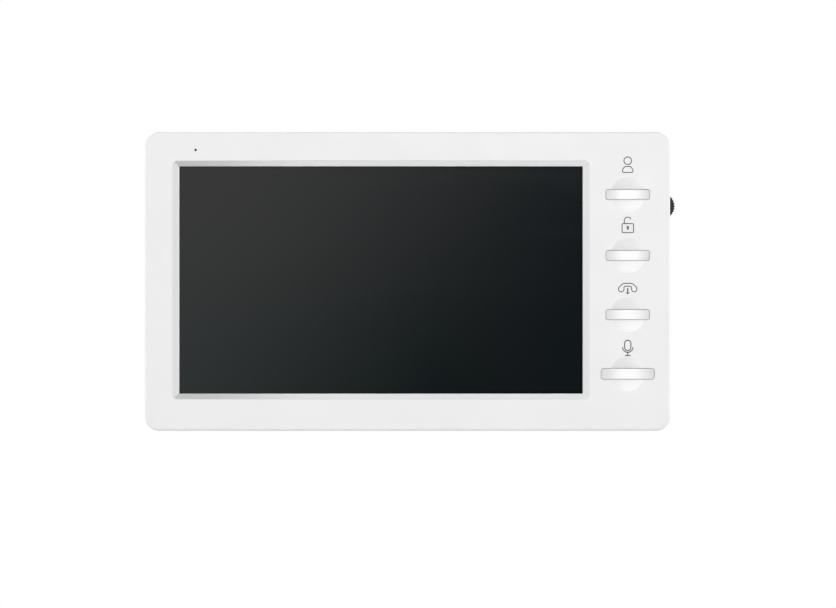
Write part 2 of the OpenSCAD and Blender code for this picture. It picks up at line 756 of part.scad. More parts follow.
module screen_window() {
  color([0.25, 0.28, 0.3, 0.5]) stand() translate([view_x, view_y, z_lcd]) linear_extrude(window_t)
    square([view_w + 2 * window_lap, view_h + 2 * window_lap], center = true);
}

tape_back = 0.3;            // from the recess to the tape

module window_tape() {
  color("black") stand() translate([view_x, view_y, z_window]) linear_extrude(tape_t) difference() {
    square([view_w + 2 * window_lap, view_h + 2 * window_lap], center = true);
    square([view_w + 2 * tape_back, view_h + 2 * tape_back], center = true);
  }
}

// A slot through the frame's lower side, wide enough for the ribbon
module ribbon_gap() {
  half = lcd_ribbon_w / 2 + part_gap;
  block([lcd_ribbon_x - half, lcd_bottom - cut, z_lcd - lcd_sheet - panel_t],
        [lcd_ribbon_x + half, lcd_bottom + cut, z_lcd - lcd_sheet]);
}

// The display's steel frame, open at the back
module lcd_frame() {
  color("gray") stand() difference() {
    block([lcd_left, lcd_bottom, z_lcd_back], [lcd_right, lcd_top, z_lcd]);
    block([lcd_left + lcd_sheet, lcd_bottom + lcd_sheet, z_lcd_back - cut],
          [lcd_right - lcd_sheet, lcd_top - lcd_sheet, z_lcd - lcd_sheet]);
    translate([view_x, view_y, z_lcd - cut]) linear_extrude(2 * cut)
      square([view_w + 2 * lcd_open, view_h + 2 * lcd_open], center = true);
    ribbon_gap();
  }
}

module lcd_layer(z_low, z_high) {
  inset = lcd_sheet + lcd_fit;
  block([lcd_left + inset, lcd_bottom + inset, z_low], [lcd_right - inset, lcd_top - inset, z_high]);
}

module lcd_panel() {
  color([0.12, 0.13, 0.14]) stand() lcd_layer(z_lcd - lcd_sheet - panel_t, z_lcd - lcd_sheet);
}

module lcd_backlight() {
  color("ivory") stand() lcd_layer(z_lcd_back, z_lcd - lcd_sheet - panel_t);
}

// A steel tab over the display's edge at y = edge, screwed to the boss at y = hold
module clamp(edge, hold) {
  s = sign(hold - edge);
  near = edge - s * clamp_lap;
  far = hold + s * clamp_end;
  difference() {
    block([-clamp_w / 2, min(near, far), z_lcd_back - clamp_t], [clamp_w / 2, max(near, far), z_lcd_back]);
    translate([0, hold, 0]) post(board_hole_r, z_lcd_back - clamp_t - cut, z_lcd_back + cut);
  }
}

module lcd_clamps() {
  color("silver") stand() for (s = [-1, 1]) translate([view_x + s * clamp_spread, 0, 0]) {
    clamp(lcd_top, clamp_y[0]);
    clamp(lcd_bottom, clamp_y[1]);
  }
}

module lcd_clamp_screws() {
  color("silver") stand() at_clamps() translate([0, 0, z_lcd_back - clamp_t - small_head_t])
    screw(small_head_r, small_head_t, small_screw_r, small_screw_l);
}

// Flat ribbon that leaves the display's lower edge and folds back to the main board
module lcd_ribbon() {
  z_glass = z_lcd - lcd_sheet - panel_t / 2;
  y_fold = lcd_bottom - 1.8;
  z_socket = z_main_top + ribbon_socket_h / 2;
  route = [
    [lcd_bottom + lcd_sheet + lcd_fit, z_glass],
    [lcd_bottom - 0.7, z_glass],
    [y_fold + 0.3, z_glass - 0.7],
    [y_fold, (z_glass + z_lcd_back - 0.6) / 2],
    [y_fold + 0.3, z_lcd_back - 0.1],
    [lcd_bottom - 0.7, z_lcd_back - 0.7],
    [lcd_bottom + 2, z_lcd_back - 0.8],
    [lcd_socket_y - 3, z_socket + 0.6],
    [lcd_socket_y - 1.5, z_socket],
    [lcd_socket_y, z_socket]
  ];
  color("peru") stand() translate([lcd_ribbon_x - lcd_ribbon_w / 2, 0, 0]) rotate([90, 0, 90])
    linear_extrude(lcd_ribbon_w) polygon(strip_outline(route, ribbon_t));
}

// Keys

// One moulded key: a crowned bar, the flange that keeps it in, and the stem that pushes the switch
module key(i) {
  z_crown = case_d + key_proud;
  color("white") stand() translate([key_x, key_y(i), 0]) {
    intersection() {
      translate([0, 0, z_flange]) linear_extrude(z_crown - z_flange) bar_outline(i, 0);
      translate([0, 0, z_crown - crown_radius(i)]) rotate([90, 0, 0])
        cylinder(r = crown_radius(i), h = bar_h(i) + 2 * cut, center = true, $fn = 512);
    }
    translate([0, 0, z_flange]) linear_extrude(flange_t) bar_outline(i, key_gap + flange_lap);
    post(stem_r, z_plunger, z_flange + weld);
  }
}

cover_t = 0.3;                                        // thickness of a switch's steel cover
dome_h = 0.2;                                         // height of its snap dome
press_room = 0.2;                                     // over the dome with the key pushed in
plunger_gap = 0.1;                                    // between a plunger and the cover
plunger_l = 2;
z_plunger_end = z_plunger - plunger_l;                // inner end of a plunger at rest
z_well = z_plunger_end - key_travel - press_room - dome_h;

module plunger(i) {
  color("dimgray") stand() translate([key_x, key_y(i), 0]) post(plunger_r, z_plunger_end, z_plunger);
}

// The four switches under the keys
module switch_bodies() {
  side = switch_side / 2;
  color([0.15, 0.15, 0.15]) stand() at_keys() difference() {
    block([-side, -side, z_control], [side, side, z_switch - cover_t]);
    post(plunger_r + part_gap, z_well, z_switch);
  }
}

module switch_covers() {
  side = switch_side / 2;
  color("silver") stand() at_keys() difference() {
    block([-side, -side, z_switch - cover_t], [side, side, z_switch]);
    post(plunger_r + plunger_gap, z_switch - cover_t - cut, z_switch + cut);
  }
}

module switch_domes() {
  color("silver") stand() at_keys() translate([0, 0, z_well])
    cylinder(r1 = plunger_r + 0.2, r2 = plunger_r * 0.6, h = dome_h);
}

// Control board with its volume wheel

module control_board() {
  color("darkgreen") stand() difference() {
    block([control_left, -control_end, z_control - board_t], [control_right, control_end, z_control]);
    at_control_screws() post(board_hole_r, z_control - board_t - cut, z_control + cut);
  }
}

module control_board_screws() {
  color("silver") stand() at_control_screws()
    translate([0, 0, z_control - board_t - small_head_t])
      screw(small_head_r, small_head_t, small_screw_r, small_screw_l);
}

pot_t = 1.2;              // thickness of the volume control's base
pot_gap = 0.8;            // between that base and the top key's switch
pot_rim = 0.1;            // of the base past its post
wheel_lift = 0.1;         // running gap under the wheel and under its rivet
rivet_r = post_r + 0.4;
rivet_t = 0.5;
z_wheel = z_control + pot_t + wheel_lift;
z_rivet = z_wheel + wheel_t - rivet_t;

// The volume control's base and the post that its wheel turns on
module volume_pot() {
  color([0.2, 0.2, 0.2]) stand() {
    block([key_x + switch_side / 2 + pot_gap, wheel_y - wheel_r, z_control],
          [min(wheel_x + post_r + pot_rim, inner_x - seat_gap), wheel_y + wheel_r, z_control + pot_t]);
    translate([wheel_x, wheel_y, 0]) post(post_r, z_control, z_rivet);
  }
}

// A knurled wheel whose rivet lies flush in a sunk hub
module volume_wheel() {
  color([0.2, 0.2, 0.2]) stand() translate([wheel_x, wheel_y, 0]) difference() {
    post(wheel_r, z_wheel, z_wheel + wheel_t);
    post(post_r + run_gap, z_wheel - cut, z_wheel + wheel_t + cut);
    post(rivet_r + part_gap, z_rivet - wheel_lift, z_wheel + wheel_t + cut);
    for (i = [0:wheel_grips - 1]) rotate([0, 0, (i + 0.5) * 360 / wheel_grips])
      translate([wheel_r, 0, z_wheel - cut]) cylinder(r = grip_r, h = wheel_t + 2 * cut, $fn = 16);
  }
}

module wheel_rivet() {
  color("silver") stand() translate([wheel_x, wheel_y, 0]) post(rivet_r, z_rivet, z_rivet + rivet_t);
}

ribbon_reach = 1;         // how far a ribbon's socket reaches in over its board's edge
control_socket_x = main_right - 3;

// Flat ribbon from the control board to the main board
module control_ribbon() {
  z_main_end = z_main_top + ribbon_socket_h / 2;
  z_control_end = z_control - board_t - ribbon_socket_h / 2;
  route = [
    [control_socket_x, z_main_end],
    [main_right + 0.5, z_main_end],
    [(main_right + control_left) / 2, (z_main_end + z_control_end) / 2],
    [control_left - 0.5, z_control_end],
    [control_left + ribbon_reach, z_control_end]
  ];
  color("white") stand() translate([0, control_ribbon_w / 2, 0]) rotate([90, 0, 0])
    linear_extrude(control_ribbon_w) polygon(strip_outline(route, ribbon_t));
}

// Microphone

boot_hole_gap = 0.1;      // of the boot's hole past the front wall's
boot_fit = 0.01;          // between the boot and the microphone

// The rubber boot grips the microphone and seals it to the front wall round its hole
module mic_boot() {
  color([0.1, 0.1, 0.1]) stand() translate([mic_x, mic_y, 0]) difference() {
    post(boot_r, z_inner - boot_t - mic_h, z_inner);
    post(mic_hole_r + boot_hole_gap, z_inner - boot_t - cut, z_inner + cut);
    post(mic_r + boot_fit, z_inner - boot_t - mic_h - cut, z_inner - boot_t);
  }
}

module microphone() {
  color("silver") stand() translate([mic_x, mic_y, 0])
    post(mic_r, z_inner - boot_t - mic_h, z_inner - boot_t);
}

module mic_lead() {
  color("darkred") stand() tube(mic_lead_route, lead_r, lead_sides);
}

// Main board and what is soldered to it

module main_board() {
  color("darkgreen") stand() difference() {
    block([main_left, -main_end, z_main], [main_right, main_end, z_main_top]);
    at_main_screws() post(board_hole_r, z_main - cut, z_main_top + cut);
  }
}

module main_board_screws() {
  color("silver") stand() at_main_screws() translate([0, 0, z_main_top + small_head_t])
    mirror([0, 0, 1]) screw(small_head_r, small_head_t, small_screw_r, small_screw_l);
}

// A box of the given size that stands on the main board, its middle at x, y
module on_board(x, y, size) {
  translate([x - size.x / 2, y - size.y / 2, z_main_top]) cube(size);
}

chip_x = main_x - 5;          // middle of the processor under its shield
chip_y = 14;
chip_w = 14;
chip_h = 1.2;
shield_w = 34;
shield_l = 26;
shield_h = 2.4;
shield_sheet = 0.3;
memory_w = 10;
memory_l = 7;
memory_h = 1;
memory_gap = 6;
capacitor_r = 2.5;
capacitor_h = 3;
capacitor_base = 5.4;
capacitor_base_h = 0.6;
capacitor_pitch = 8;
coil_w = 7;
coil_h = 2.8;
coil_gap = 2;
power_y = -24;                // middle of the power supply's parts

// A thin steel lid over the processor
module shield_can() {
  color("silver") stand() difference() {
    on_board(chip_x, chip_y, [shield_w, shield_l, shield_h]);
    translate([0, 0, -shield_sheet])
      on_board(chip_x, chip_y, [shield_w - 2 * shield_sheet, shield_l - 2 * shield_sheet, shield_h]);
  }
}

module processor() {
  color([0.1, 0.1, 0.1]) stand() on_board(chip_x, chip_y, [chip_w, chip_w, chip_h]);
}

// A column of three chips beside the shield
module memory_chips() {
  color([0.1, 0.1, 0.1]) stand() for (i = [-1:1])
    on_board(chip_x + shield_w / 2 + memory_gap + memory_w / 2, chip_y + i * (memory_l + memory_gap),
             [memory_w, memory_l, memory_h]);
}

module capacitor(x, y) {
  on_board(x, y, [capacitor_base, capacitor_base, capacitor_base_h]);
  translate([x, y, 0]) post(capacitor_r, z_main_top, z_main_top + capacitor_h);
}

// Two capacitors by the speaker's socket, and four by the coils
module capacitors() {
  coil_end = main_x + coil_w + coil_gap * 1.5;
  color("silver") stand() {
    for (i = [0, 1]) capacitor(main_left + 2 * capacitor_pitch, i * capacitor_pitch);
    for (i = [1, 2], k = [0, 1]) capacitor(coil_end + i * capacitor_pitch, power_y - k * capacitor_pitch);
  }
}

module power_coils() {
  color([0.25, 0.25, 0.27]) stand() for (s = [-1, 1])
    on_board(main_x + s * (coil_w + coil_gap) / 2, power_y, [coil_w, coil_w, coil_h]);
}

// Flat sockets for the two ribbons
module ribbon_sockets() {
  control_socket_w = control_ribbon_w + 2 * ribbon_socket_rim;
  color("ivory") stand() {
    on_board(lcd_ribbon_x, lcd_socket_y + ribbon_socket_l / 2,
             [lcd_ribbon_w + 2 * ribbon_socket_rim, ribbon_socket_l, ribbon_socket_h]);
    on_board(control_socket_x - ribbon_socket_l / 2, 0,
             [ribbon_socket_l, control_socket_w, ribbon_socket_h]);
    translate([control_left + ribbon_reach, -control_socket_w / 2, z_control - board_t - ribbon_socket_h])
      cube([ribbon_socket_l, control_socket_w, ribbon_socket_h]);
  }
}

// Small sockets for the microphone's and the speaker's leads
module lead_sockets() {
  color("ivory") stand() for (y = [mic_lead_y, speaker_lead_y])
    on_board(main_left + lead_socket_l / 2, y, [lead_socket_l, lead_socket_w, lead_socket_h]);
}

socket_floor = 1.2;           // thickness of a socket's floor, which holds its pins
key_slot_w = 1.2;             // slots in a socket's wall that stop a plug going in upside down
key_slot_h = 3;
pin_sink = 1.2;               // from a socket's mouth to its pins' tips

function pin_x(i, k) = socket_x(i) + (k - (SOCKET_PINS[i] - 1) / 2) * pin_pitch;

// A square pin that runs out of the main board
module pin(z_low, z_high) {
  block([-pin_side / 2, -pin_side / 2, z_low], [pin_side / 2, pin_side / 2, z_high]);
}

// Socket shell number i, open towards the wall
module plug_socket(i) {
  half_w = socket_w(SOCKET_PINS[i]) / 2;
  half_h = socket_h / 2;
  difference() {
    translate([socket_x(i), 0, 0]) difference() {
      block([-half_w, -half_h, z_mouth], [half_w, half_h, z_main]);
      block([socket_wall - half_w, socket_wall - half_h, z_mouth - cut],
            [half_w - socket_wall, half_h - socket_wall, z_main - socket_floor]);
      for (s = [-1, 1]) translate([s * half_w / 2, 0, 0])
        block([-key_slot_w / 2, -half_h - cut, z_mouth - cut], [key_slot_w / 2, 0, z_mouth + key_slot_h]);
    }
    for (k = [0:SOCKET_PINS[i] - 1]) translate([pin_x(i, k), 0, 0])
      pin(z_main - socket_floor - cut, z_main + cut);
  }
}

module door_sockets() {
  color("white") stand() for (i = [0, 1]) plug_socket(i);
}

module camera_socket() {
  color("white") stand() plug_socket(2);
}

module power_socket() {
  color("white") stand() plug_socket(3);
}

module socket_pins() {
  color("gold") stand() for (i = [0:len(SOCKET_PINS) - 1], k = [0:SOCKET_PINS[i] - 1])
    translate([pin_x(i, k), 0, 0]) pin(z_mouth + pin_sink, z_main);
}

// Speaker, which fires through the grille in the back

module at_speaker(z) {
  translate([speaker_x, speaker_y, z]) children();
}

rim_w = 2.5;                         // width of the basket's rim
throat_r = magnet_r - 2;             // where the basket's cone ends
vent_hole_r = 2;                     // hole in the middle of the basket
cone_t = 0.35;

// Foam ring that seals the speaker to the back wall
module speaker_gasket() {
  color([0.15, 0.15, 0.15]) stand() at_speaker(z_floor) linear_extrude(gasket_t) difference() {
    circle(speaker_r);
    circle(speaker_r - rim_w);
  }
}

// A pressed basket with a flat rim, and the tag that its lead is soldered to
module speaker_basket() {
  rim_in = speaker_r - rim_w;
  color("dimgray") stand() {
    at_speaker(z_basket) rotate_extrude() polygon([
      [speaker_r, 0], [speaker_r, basket_t], [rim_in, basket_t],
      [throat_r + basket_t, basket_h], [throat_r + basket_t, basket_h + basket_t],
      [vent_hole_r, basket_h + basket_t], [vent_hole_r, basket_h], [throat_r, basket_h],
      [rim_in - basket_t, basket_t], [rim_in - basket_t, 0]
    ]);
    block([speaker_tag_x - speaker_tag_l, speaker_y - speaker_tag_w / 2, z_basket + basket_t / 2],
          [speaker_tag_x, speaker_y + speaker_tag_w / 2, z_basket + basket_t / 2 + speaker_tag_h]);
  }
}

// Paper cone with a rolled edge and a dust cap: one thin revolved sheet, glued under the basket's rim
module speaker_cone() {
  rim_out = speaker_r - rim_w - 0.2;
  rim_in = rim_out - 0.9;
  roll_in = rim_in - 2.2;
  cap_r = 5;
  face = [[rim_out, 0], [rim_in, 0], [(rim_in + roll_in) / 2, 0.5], [roll_in, 0.1],
          [cap_r, 2.2], [cap_r - 1.5, 1.6], [0, 1.2]];
  back = [for (i = [len(face) - 1:-1:0]) face[i] - [0, cone_t]];
  color([0.12, 0.12, 0.12]) stand() at_speaker(z_basket) rotate_extrude() polygon(concat(face, back));
}

module speaker_magnet() {
  color([0.3, 0.3, 0.32]) stand() at_speaker(z_basket + basket_h + basket_t)
    cylinder(r = magnet_r, h = magnet_t);
}

module speaker_screws() {
  color("silver") stand() at_speaker_screws() translate([0, 0, z_basket + basket_t + small_head_t])
    mirror([0, 0, 1]) screw(speaker_head_r, small_head_t, small_screw_r, speaker_screw_l);
}

module speaker_lead() {
  color("darkred") stand() tube(speaker_lead_route, lead_r, lead_sides);
}

wall_bracket();
front_cover();
rear_cover();
case_screws();
screen_window();
window_tape();
lcd_frame();
lcd_panel();
lcd_backlight();
lcd_clamps();
lcd_clamp_screws();
lcd_ribbon();
key(0);  // monitor_key
key(1);  // unlock_key
key(2);  // hangup_key
key(TALK);  // talk_key
plunger(0);  // monitor_plunger
plunger(1);  // unlock_plunger
plunger(2);  // hangup_plunger
plunger(TALK);  // talk_plunger
switch_bodies();
switch_covers();
switch_domes();
control_board();
control_board_screws();
control_ribbon();
volume_wheel();
volume_pot();
wheel_rivet();
microphone();
mic_boot();
mic_lead();
main_board();
main_board_screws();
shield_can();
processor();
memory_chips();
capacitors();
power_coils();
ribbon_sockets();
lead_sockets();
door_sockets();
camera_socket();
power_socket();
socket_pins();
speaker_basket();
speaker_cone();
speaker_magnet();
speaker_gasket();
speaker_screws();
speaker_lead();
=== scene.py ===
"""Finishes, fine pieces, light and camera for a wall-hung video intercom monitor.

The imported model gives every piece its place.  The classes below dress its nodes, and build the
keys, the volume wheel and the printed signs as surfaces worked out with numpy.
"""

import json
import logging
import math
from dataclasses import dataclass
from enum import Enum
from typing import Any, Callable, Mapping, Optional, Sequence, Union

import bpy
import numpy as np
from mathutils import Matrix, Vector

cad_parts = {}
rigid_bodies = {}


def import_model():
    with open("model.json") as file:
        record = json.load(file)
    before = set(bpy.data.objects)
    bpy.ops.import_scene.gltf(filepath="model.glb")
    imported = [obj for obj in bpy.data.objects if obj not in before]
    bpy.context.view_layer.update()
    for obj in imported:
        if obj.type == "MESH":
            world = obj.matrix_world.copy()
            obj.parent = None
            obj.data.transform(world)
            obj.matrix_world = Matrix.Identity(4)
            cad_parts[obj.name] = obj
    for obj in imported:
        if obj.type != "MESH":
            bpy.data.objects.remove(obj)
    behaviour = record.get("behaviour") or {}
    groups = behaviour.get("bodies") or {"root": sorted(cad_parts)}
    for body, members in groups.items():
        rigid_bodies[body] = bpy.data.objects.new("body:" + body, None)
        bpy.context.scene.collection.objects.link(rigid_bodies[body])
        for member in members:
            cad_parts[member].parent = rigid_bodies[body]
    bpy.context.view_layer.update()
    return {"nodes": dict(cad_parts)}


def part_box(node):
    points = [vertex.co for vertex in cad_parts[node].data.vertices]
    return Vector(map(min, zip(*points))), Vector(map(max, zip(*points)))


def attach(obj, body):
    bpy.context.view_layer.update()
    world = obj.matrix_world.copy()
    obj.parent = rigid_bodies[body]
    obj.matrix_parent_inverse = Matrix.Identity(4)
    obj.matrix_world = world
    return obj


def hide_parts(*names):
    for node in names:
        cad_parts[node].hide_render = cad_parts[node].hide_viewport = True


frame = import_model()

MM = 0.001
WINDOW_LAP = 2.6 * MM
DIMPLE_RADIUS = 6.7 * MM
FINE_EDGE = 0.06 * MM
NOISE_ROUGHNESS = 0.55
BLACK = (0.0, 0.0, 0.0)
WHITE = (1.0, 1.0, 1.0)
Array = np.ndarray
Triple = tuple[float, float, float]
Colour = Triple
Pair = tuple[float, float]
LampPlan = tuple[str, Triple, Pair, float]

log = logging.getLogger("monitor")


# Shader graphs


def arithmetic(operation: str, reflected: bool = False) -> Callable[["Field", "Value"], "Field"]:
    """Makes a method that adds one Math node on a field and another value.

    Args:
        operation: What the node does.
        reflected: Whether the other value comes first.

    Returns:
        The method.
    """

    def method(self: "Field", other: "Value") -> "Field":
        """Adds the node."""
        terms = (other, self) if reflected else (self, other)
        return self.graph.node("ShaderNodeMath", dict(enumerate(terms)), operation=operation)

    return method


class Field:
    """A socket whose value changes over a surface; arithmetic on it adds Math nodes."""

    __add__ = __radd__ = arithmetic("ADD")
    __sub__ = arithmetic("SUBTRACT")
    __rsub__ = arithmetic("SUBTRACT", reflected=True)
    __mul__ = __rmul__ = arithmetic("MULTIPLY")
    __truediv__ = arithmetic("DIVIDE")
    __pow__ = arithmetic("POWER")
    least = arithmetic("MINIMUM")
    most = arithmetic("MAXIMUM")

    def __init__(self, graph: "Graph", socket: bpy.types.NodeSocket) -> None:
        """Keeps the socket and the graph that it belongs to."""
        self.graph = graph
        self.socket = socket

    def __abs__(self) -> "Field":
        """Size without sign."""
        return self.graph.node("ShaderNodeMath", {0: self}, operation="ABSOLUTE")

    def fraction(self) -> "Field":
        """What is left over whole numbers."""
        return self.graph.node("ShaderNodeMath", {0: self}, operation="FRACT")

    def ramp(self, low: float, high: float, to_low: float = 0.0, to_high: float = 1.0) -> "Field":
        """Turns smoothly from one value to another.

        Args:
            low: Where the turn starts.
            high: Where it ends; it may lie under low.
            to_low: Value before the turn.
            to_high: Value after it.

        Returns:
            The turned field.
        """
        if high < low:
            low, high, to_low, to_high = high, low, to_high, to_low
        values = dict(enumerate((self, low, high, to_low, to_high)))
        return self.graph.node("ShaderNodeMapRange", values, interpolation_type="SMOOTHSTEP")


Value = Union[Field, float, Sequence[float]]


@dataclass(frozen=True)
class Noise:
    """Soft noise: waves to the metre, finer layers, where it turns to 1, and uneven stretch."""

    scale: float
    detail: float
    turn: Optional[Pair] = None
    stretch: Optional[Triple] = None


class Graph:
    """The node tree of a material or of the world."""

    def __init__(self, tree: bpy.types.NodeTree) -> None:
        """Takes over a tree and clears it."""
        self.tree = tree
        tree.nodes.clear()

    def node(
        self,
        kind: str,
        values: Optional[Mapping[Union[int, str], Value]] = None,
        output: Union[int, str] = 0,
        **settings: Any,
    ) -> Field:
        """Adds a node.

        Args:
            kind: Its type.
            values: A number, a colour or a field for each of its sockets that is set.
            output: The output socket that is handed back.
            **settings: The node's own settings, which are set first.

        Returns:
            The chosen output.
        """
        made = self.tree.nodes.new(kind)
        for name, setting in settings.items():
            setattr(made, name, setting)
        for name, value in (values or {}).items():
            self.put(made.inputs[name], value)
        return Field(self, made.outputs[output] if len(made.outputs) else made.inputs[0])

    def put(self, socket: bpy.types.NodeSocket, value: Value) -> None:
        """Links a field to a socket, or writes a number or colour on it.

        Args:
            socket: The socket.
            value: A field, number or colour.
        """
        if isinstance(value, Field):
            self.tree.links.new(value.socket, socket)
        elif isinstance(value, (int, float)):
            socket.default_value = value
        else:
            room = len(socket.default_value)
            socket.default_value = (*value, 1.0)[:room]

    def place(self) -> Field:
        """The place on the object, in metres."""
        return self.node("ShaderNodeTexCoord", output="Object")

    def axes(self) -> tuple[Field, Field, Field]:
        """The place on the object as three numbers."""
        outputs = self.node("ShaderNodeSeparateXYZ", {0: self.place()}).socket.node.outputs
        return tuple(Field(self, outputs[i]) for i in range(3))

    def noise(self, kind: Noise) -> Field:
        """Soft noise about one half, or turned to 0 and 1.

        Args:
            kind: Its sizes.

        Returns:
            The noise.
        """
        at = self.place()
        if kind.stretch:
            at = self.node("ShaderNodeMapping", {"Vector": at, "Scale": kind.stretch})
        values = {"Vector": at, "Scale": kind.scale, "Detail": kind.detail}
        noise = self.node("ShaderNodeTexNoise", {**values, "Roughness": NOISE_ROUGHNESS})
        return noise.ramp(*kind.turn) if kind.turn else noise

    def cells(self, scale: float, output: str = "Distance") -> Field:
        """Scattered cells: how far their points are or, as Color, a tone even within each."""
        return self.node("ShaderNodeTexVoronoi", {"Vector": self.place(), "Scale": scale}, output)

    def mix(self, share: Value, first: Value, second: Value) -> Field:
        """Goes from the first colour to the second."""
        values = {0: share, 6: first, 7: second}
        return self.node("ShaderNodeMix", values, 2, data_type="RGBA")

    def relief(self, height: Field, depth: float, rounding: float = 0.0) -> Field:
        """A normal that follows a height.

        Args:
            height: Height from 0 to 1.
            depth: Its full size in metres.
            rounding: Radius in metres to which edges look rounded, or 0.

        Returns:
            The normal.
        """
        values: dict[Union[int, str], Value] = {"Height": height, "Distance": depth}
        if rounding:
            values["Normal"] = self.node("ShaderNodeBevel", {"Radius": rounding}, samples=4)
        return self.node("ShaderNodeBump", values)


def grey(level: float) -> Colour:
    """A colour of three equal parts."""
    return (level, level, level)


def shade(colour: Colour, factor: float) -> Colour:
    """A colour made lighter or darker."""
    return tuple(min(1.0, c * factor) for c in colour)


def past(x: Field, z: Field, centre: Pair, half: Pair) -> Field:
    """How far a place lies past the nearest edge of a rectangle; inside, it is negative."""
    return (abs(x - centre[0]) - half[0]).most(abs(z - centre[1]) - half[1])


@dataclass(frozen=True)
class Finish:
    """What every finish has: a name, a colour and a gloss."""

    name: str
    colour: Colour
    roughness: float = 0.5

    def material(self) -> bpy.types.Material:
        """Makes the material, or finds it if it is made already.

        Returns:
            The material.
        """
        made = bpy.data.materials.get(f"{self.name}_finish")
        if made:
            return made
        made = bpy.data.materials.new(f"{self.name}_finish")
        made.use_nodes = True
        graph = Graph(made.node_tree)
        graph.node("ShaderNodeOutputMaterial", {"Surface": self.shader(graph)})
        return made

    def shader(self, graph: Graph) -> Field:
        """Draws the finish in a graph; each kind of finish has its own."""
        raise NotImplementedError

    def toned(self, graph: Graph, share: Field, factor: float) -> Field:
        """The finish's colour, made lighter or darker where the share is 0."""
        return graph.mix(share, shade(self.colour, factor), self.colour)

    def gloss(self, share: Field, swing: Pair, turn: Pair = (0.3, 0.7)) -> Field:
        """A roughness that follows a share, from a swing under to one over the finish's own."""
        return share.ramp(*turn, self.roughness - swing[0], self.roughness + swing[1])

    def principled(
        self, graph: Graph, colour: Value, gloss: Value, normal: Optional[Field], **others: Value
    ) -> Field:
        """Adds the surface shader.

        Args:
            graph: Graph that takes it.
            colour: Its colour.
            gloss: Its roughness.
            normal: Its relief, if it has any.
            **others: Its other sockets, with spaces written as underscores.

        Returns:
            The shader.
        """
        values = {"Base Color": colour, "Roughness": gloss}
        if normal:
            values["Normal"] = normal
        values.update((name.replace("_", " "), value) for name, value in others.items())
        return graph.node("ShaderNodeBsdfPrincipled", values)


@dataclass(frozen=True)
class PaintedFaceShade:
    """Painted light and shade of the front face; places on it are in metres.

    The dimples and the upper slope of the recess are painted the whitest, and each dimple gets a
    painted highlight on its right.  The open face and the other slopes are painted a shade greyer.
    The upper and the lower slope darken towards their left corners as painted shade.  The lip at
    the foot of the slopes is painted greyer again, above all the upper one, and its rim lies in a
    dark seam.
    """

    dimples: tuple[Pair, ...]
    centre: Pair
    half: Pair
    opening: Pair
    face: float
    drop: float
    plain_tone: float = 0.925
    painted_open_shade: float = 0.935
    painted_side_shade: float = 0.947
    painted_corner_shade: float = 0.7
    painted_lip_shade: float = 0.8
    low_lip_share: float = 0.4
    seam_tone: float = 0.1
    painted_dimple_light: Pair = (0.07, 0.035)
    dimple_edge: Pair = (1.02 * DIMPLE_RADIUS, 0.98 * DIMPLE_RADIUS)
    corner_reach: Pair = (-0.32, -0.96)
    corner_shift: float = 0.06
    slope_depth: Pair = (0.0, 0.3)
    lip_depth: Pair = (0.85, 0.97)
    seam_depth: Pair = (1.1, 1.02)
    seam: Pair = (0.18 * MM, 0.108 * MM)
    seam_shift: float = 0.03 * MM
    soft: float = 0.3 * MM

    def away(self, graph: Graph) -> Field:
        """Distance to the middle of the nearest dimple.

        Args:
            graph: Graph that takes it.

        Returns:
            The distance in metres.
        """
        x, _, z = graph.axes()
        near: Optional[Field] = None
        for at_x, at_z in self.dimples:
            away = ((x - at_x) ** 2.0 + (z - at_z) ** 2.0) ** 0.5
            near = away if near is None else near.least(away)
        return near

    def tone(self, graph: Graph) -> Field:
        """What the whitest colour is multiplied by, which paints light and shade on the face.

        Args:
            graph: Graph that takes it.

        Returns:
            The factor.
        """
        x, y, z = graph.axes()
        across, up, depth = x - self.centre[0], z - self.centre[1], (y - self.face) / self.drop
        from_side, from_top = self.half[0] - abs(across), self.half[1] - abs(up)
        inside = from_side.least(from_top).ramp(0.0, self.soft)
        slope = inside * depth.ramp(*self.slope_depth)
        level = (from_side - from_top).ramp(0.0, 0.5 * self.soft)
        upper = level * up.ramp(-MM, MM)
        # Painted shade: the upper and lower slopes darken towards their left corners.
        to_left = across / self.half[0] - (1.0 - upper) * self.corner_shift
        corner = to_left.ramp(*self.corner_reach) * level * (1.0 - self.painted_corner_shade)
        # Painted shade: the lip is greyer, most under the upper slope.
        strength = self.low_lip_share + (1.0 - self.low_lip_share) * upper
        lip = depth.ramp(*self.lip_depth) * strength * (1.0 - self.painted_lip_shade)
        lip = 1.0 - (1.0 - lip) * (1.0 - corner)
        # Painted shade: the side slopes are greyer.
        side = (1.0 - level) * (1.0 - self.painted_side_shade)
        rim = past(across, up, (self.seam_shift, self.seam_shift), self.opening).ramp(*self.seam)
        seam = inside * rim * depth.ramp(*self.seam_depth) * (1.0 - self.seam_tone)
        dark = (slope * lip.most(side)).most(seam)
        dimple = self.away(graph).ramp(*self.dimple_edge)
        # Painted shade: all but the dimples and the upper slope is a shade greyer.
        wear_and_painted_shade = (1.0 - dimple.most(slope * upper)) * (1.0 - self.painted_open_shade)
        # Painted highlight: each dimple is lighter on its right and a little darker on its left.
        beside = (x - self.dimples[0][0]) / DIMPLE_RADIUS
        glow = dimple * beside * (self.painted_dimple_light[0] + self.painted_dimple_light[1] * beside)
        return (1.0 - wear_and_painted_shade) * (1.0 - dark) * (1.0 + glow) * self.plain_tone


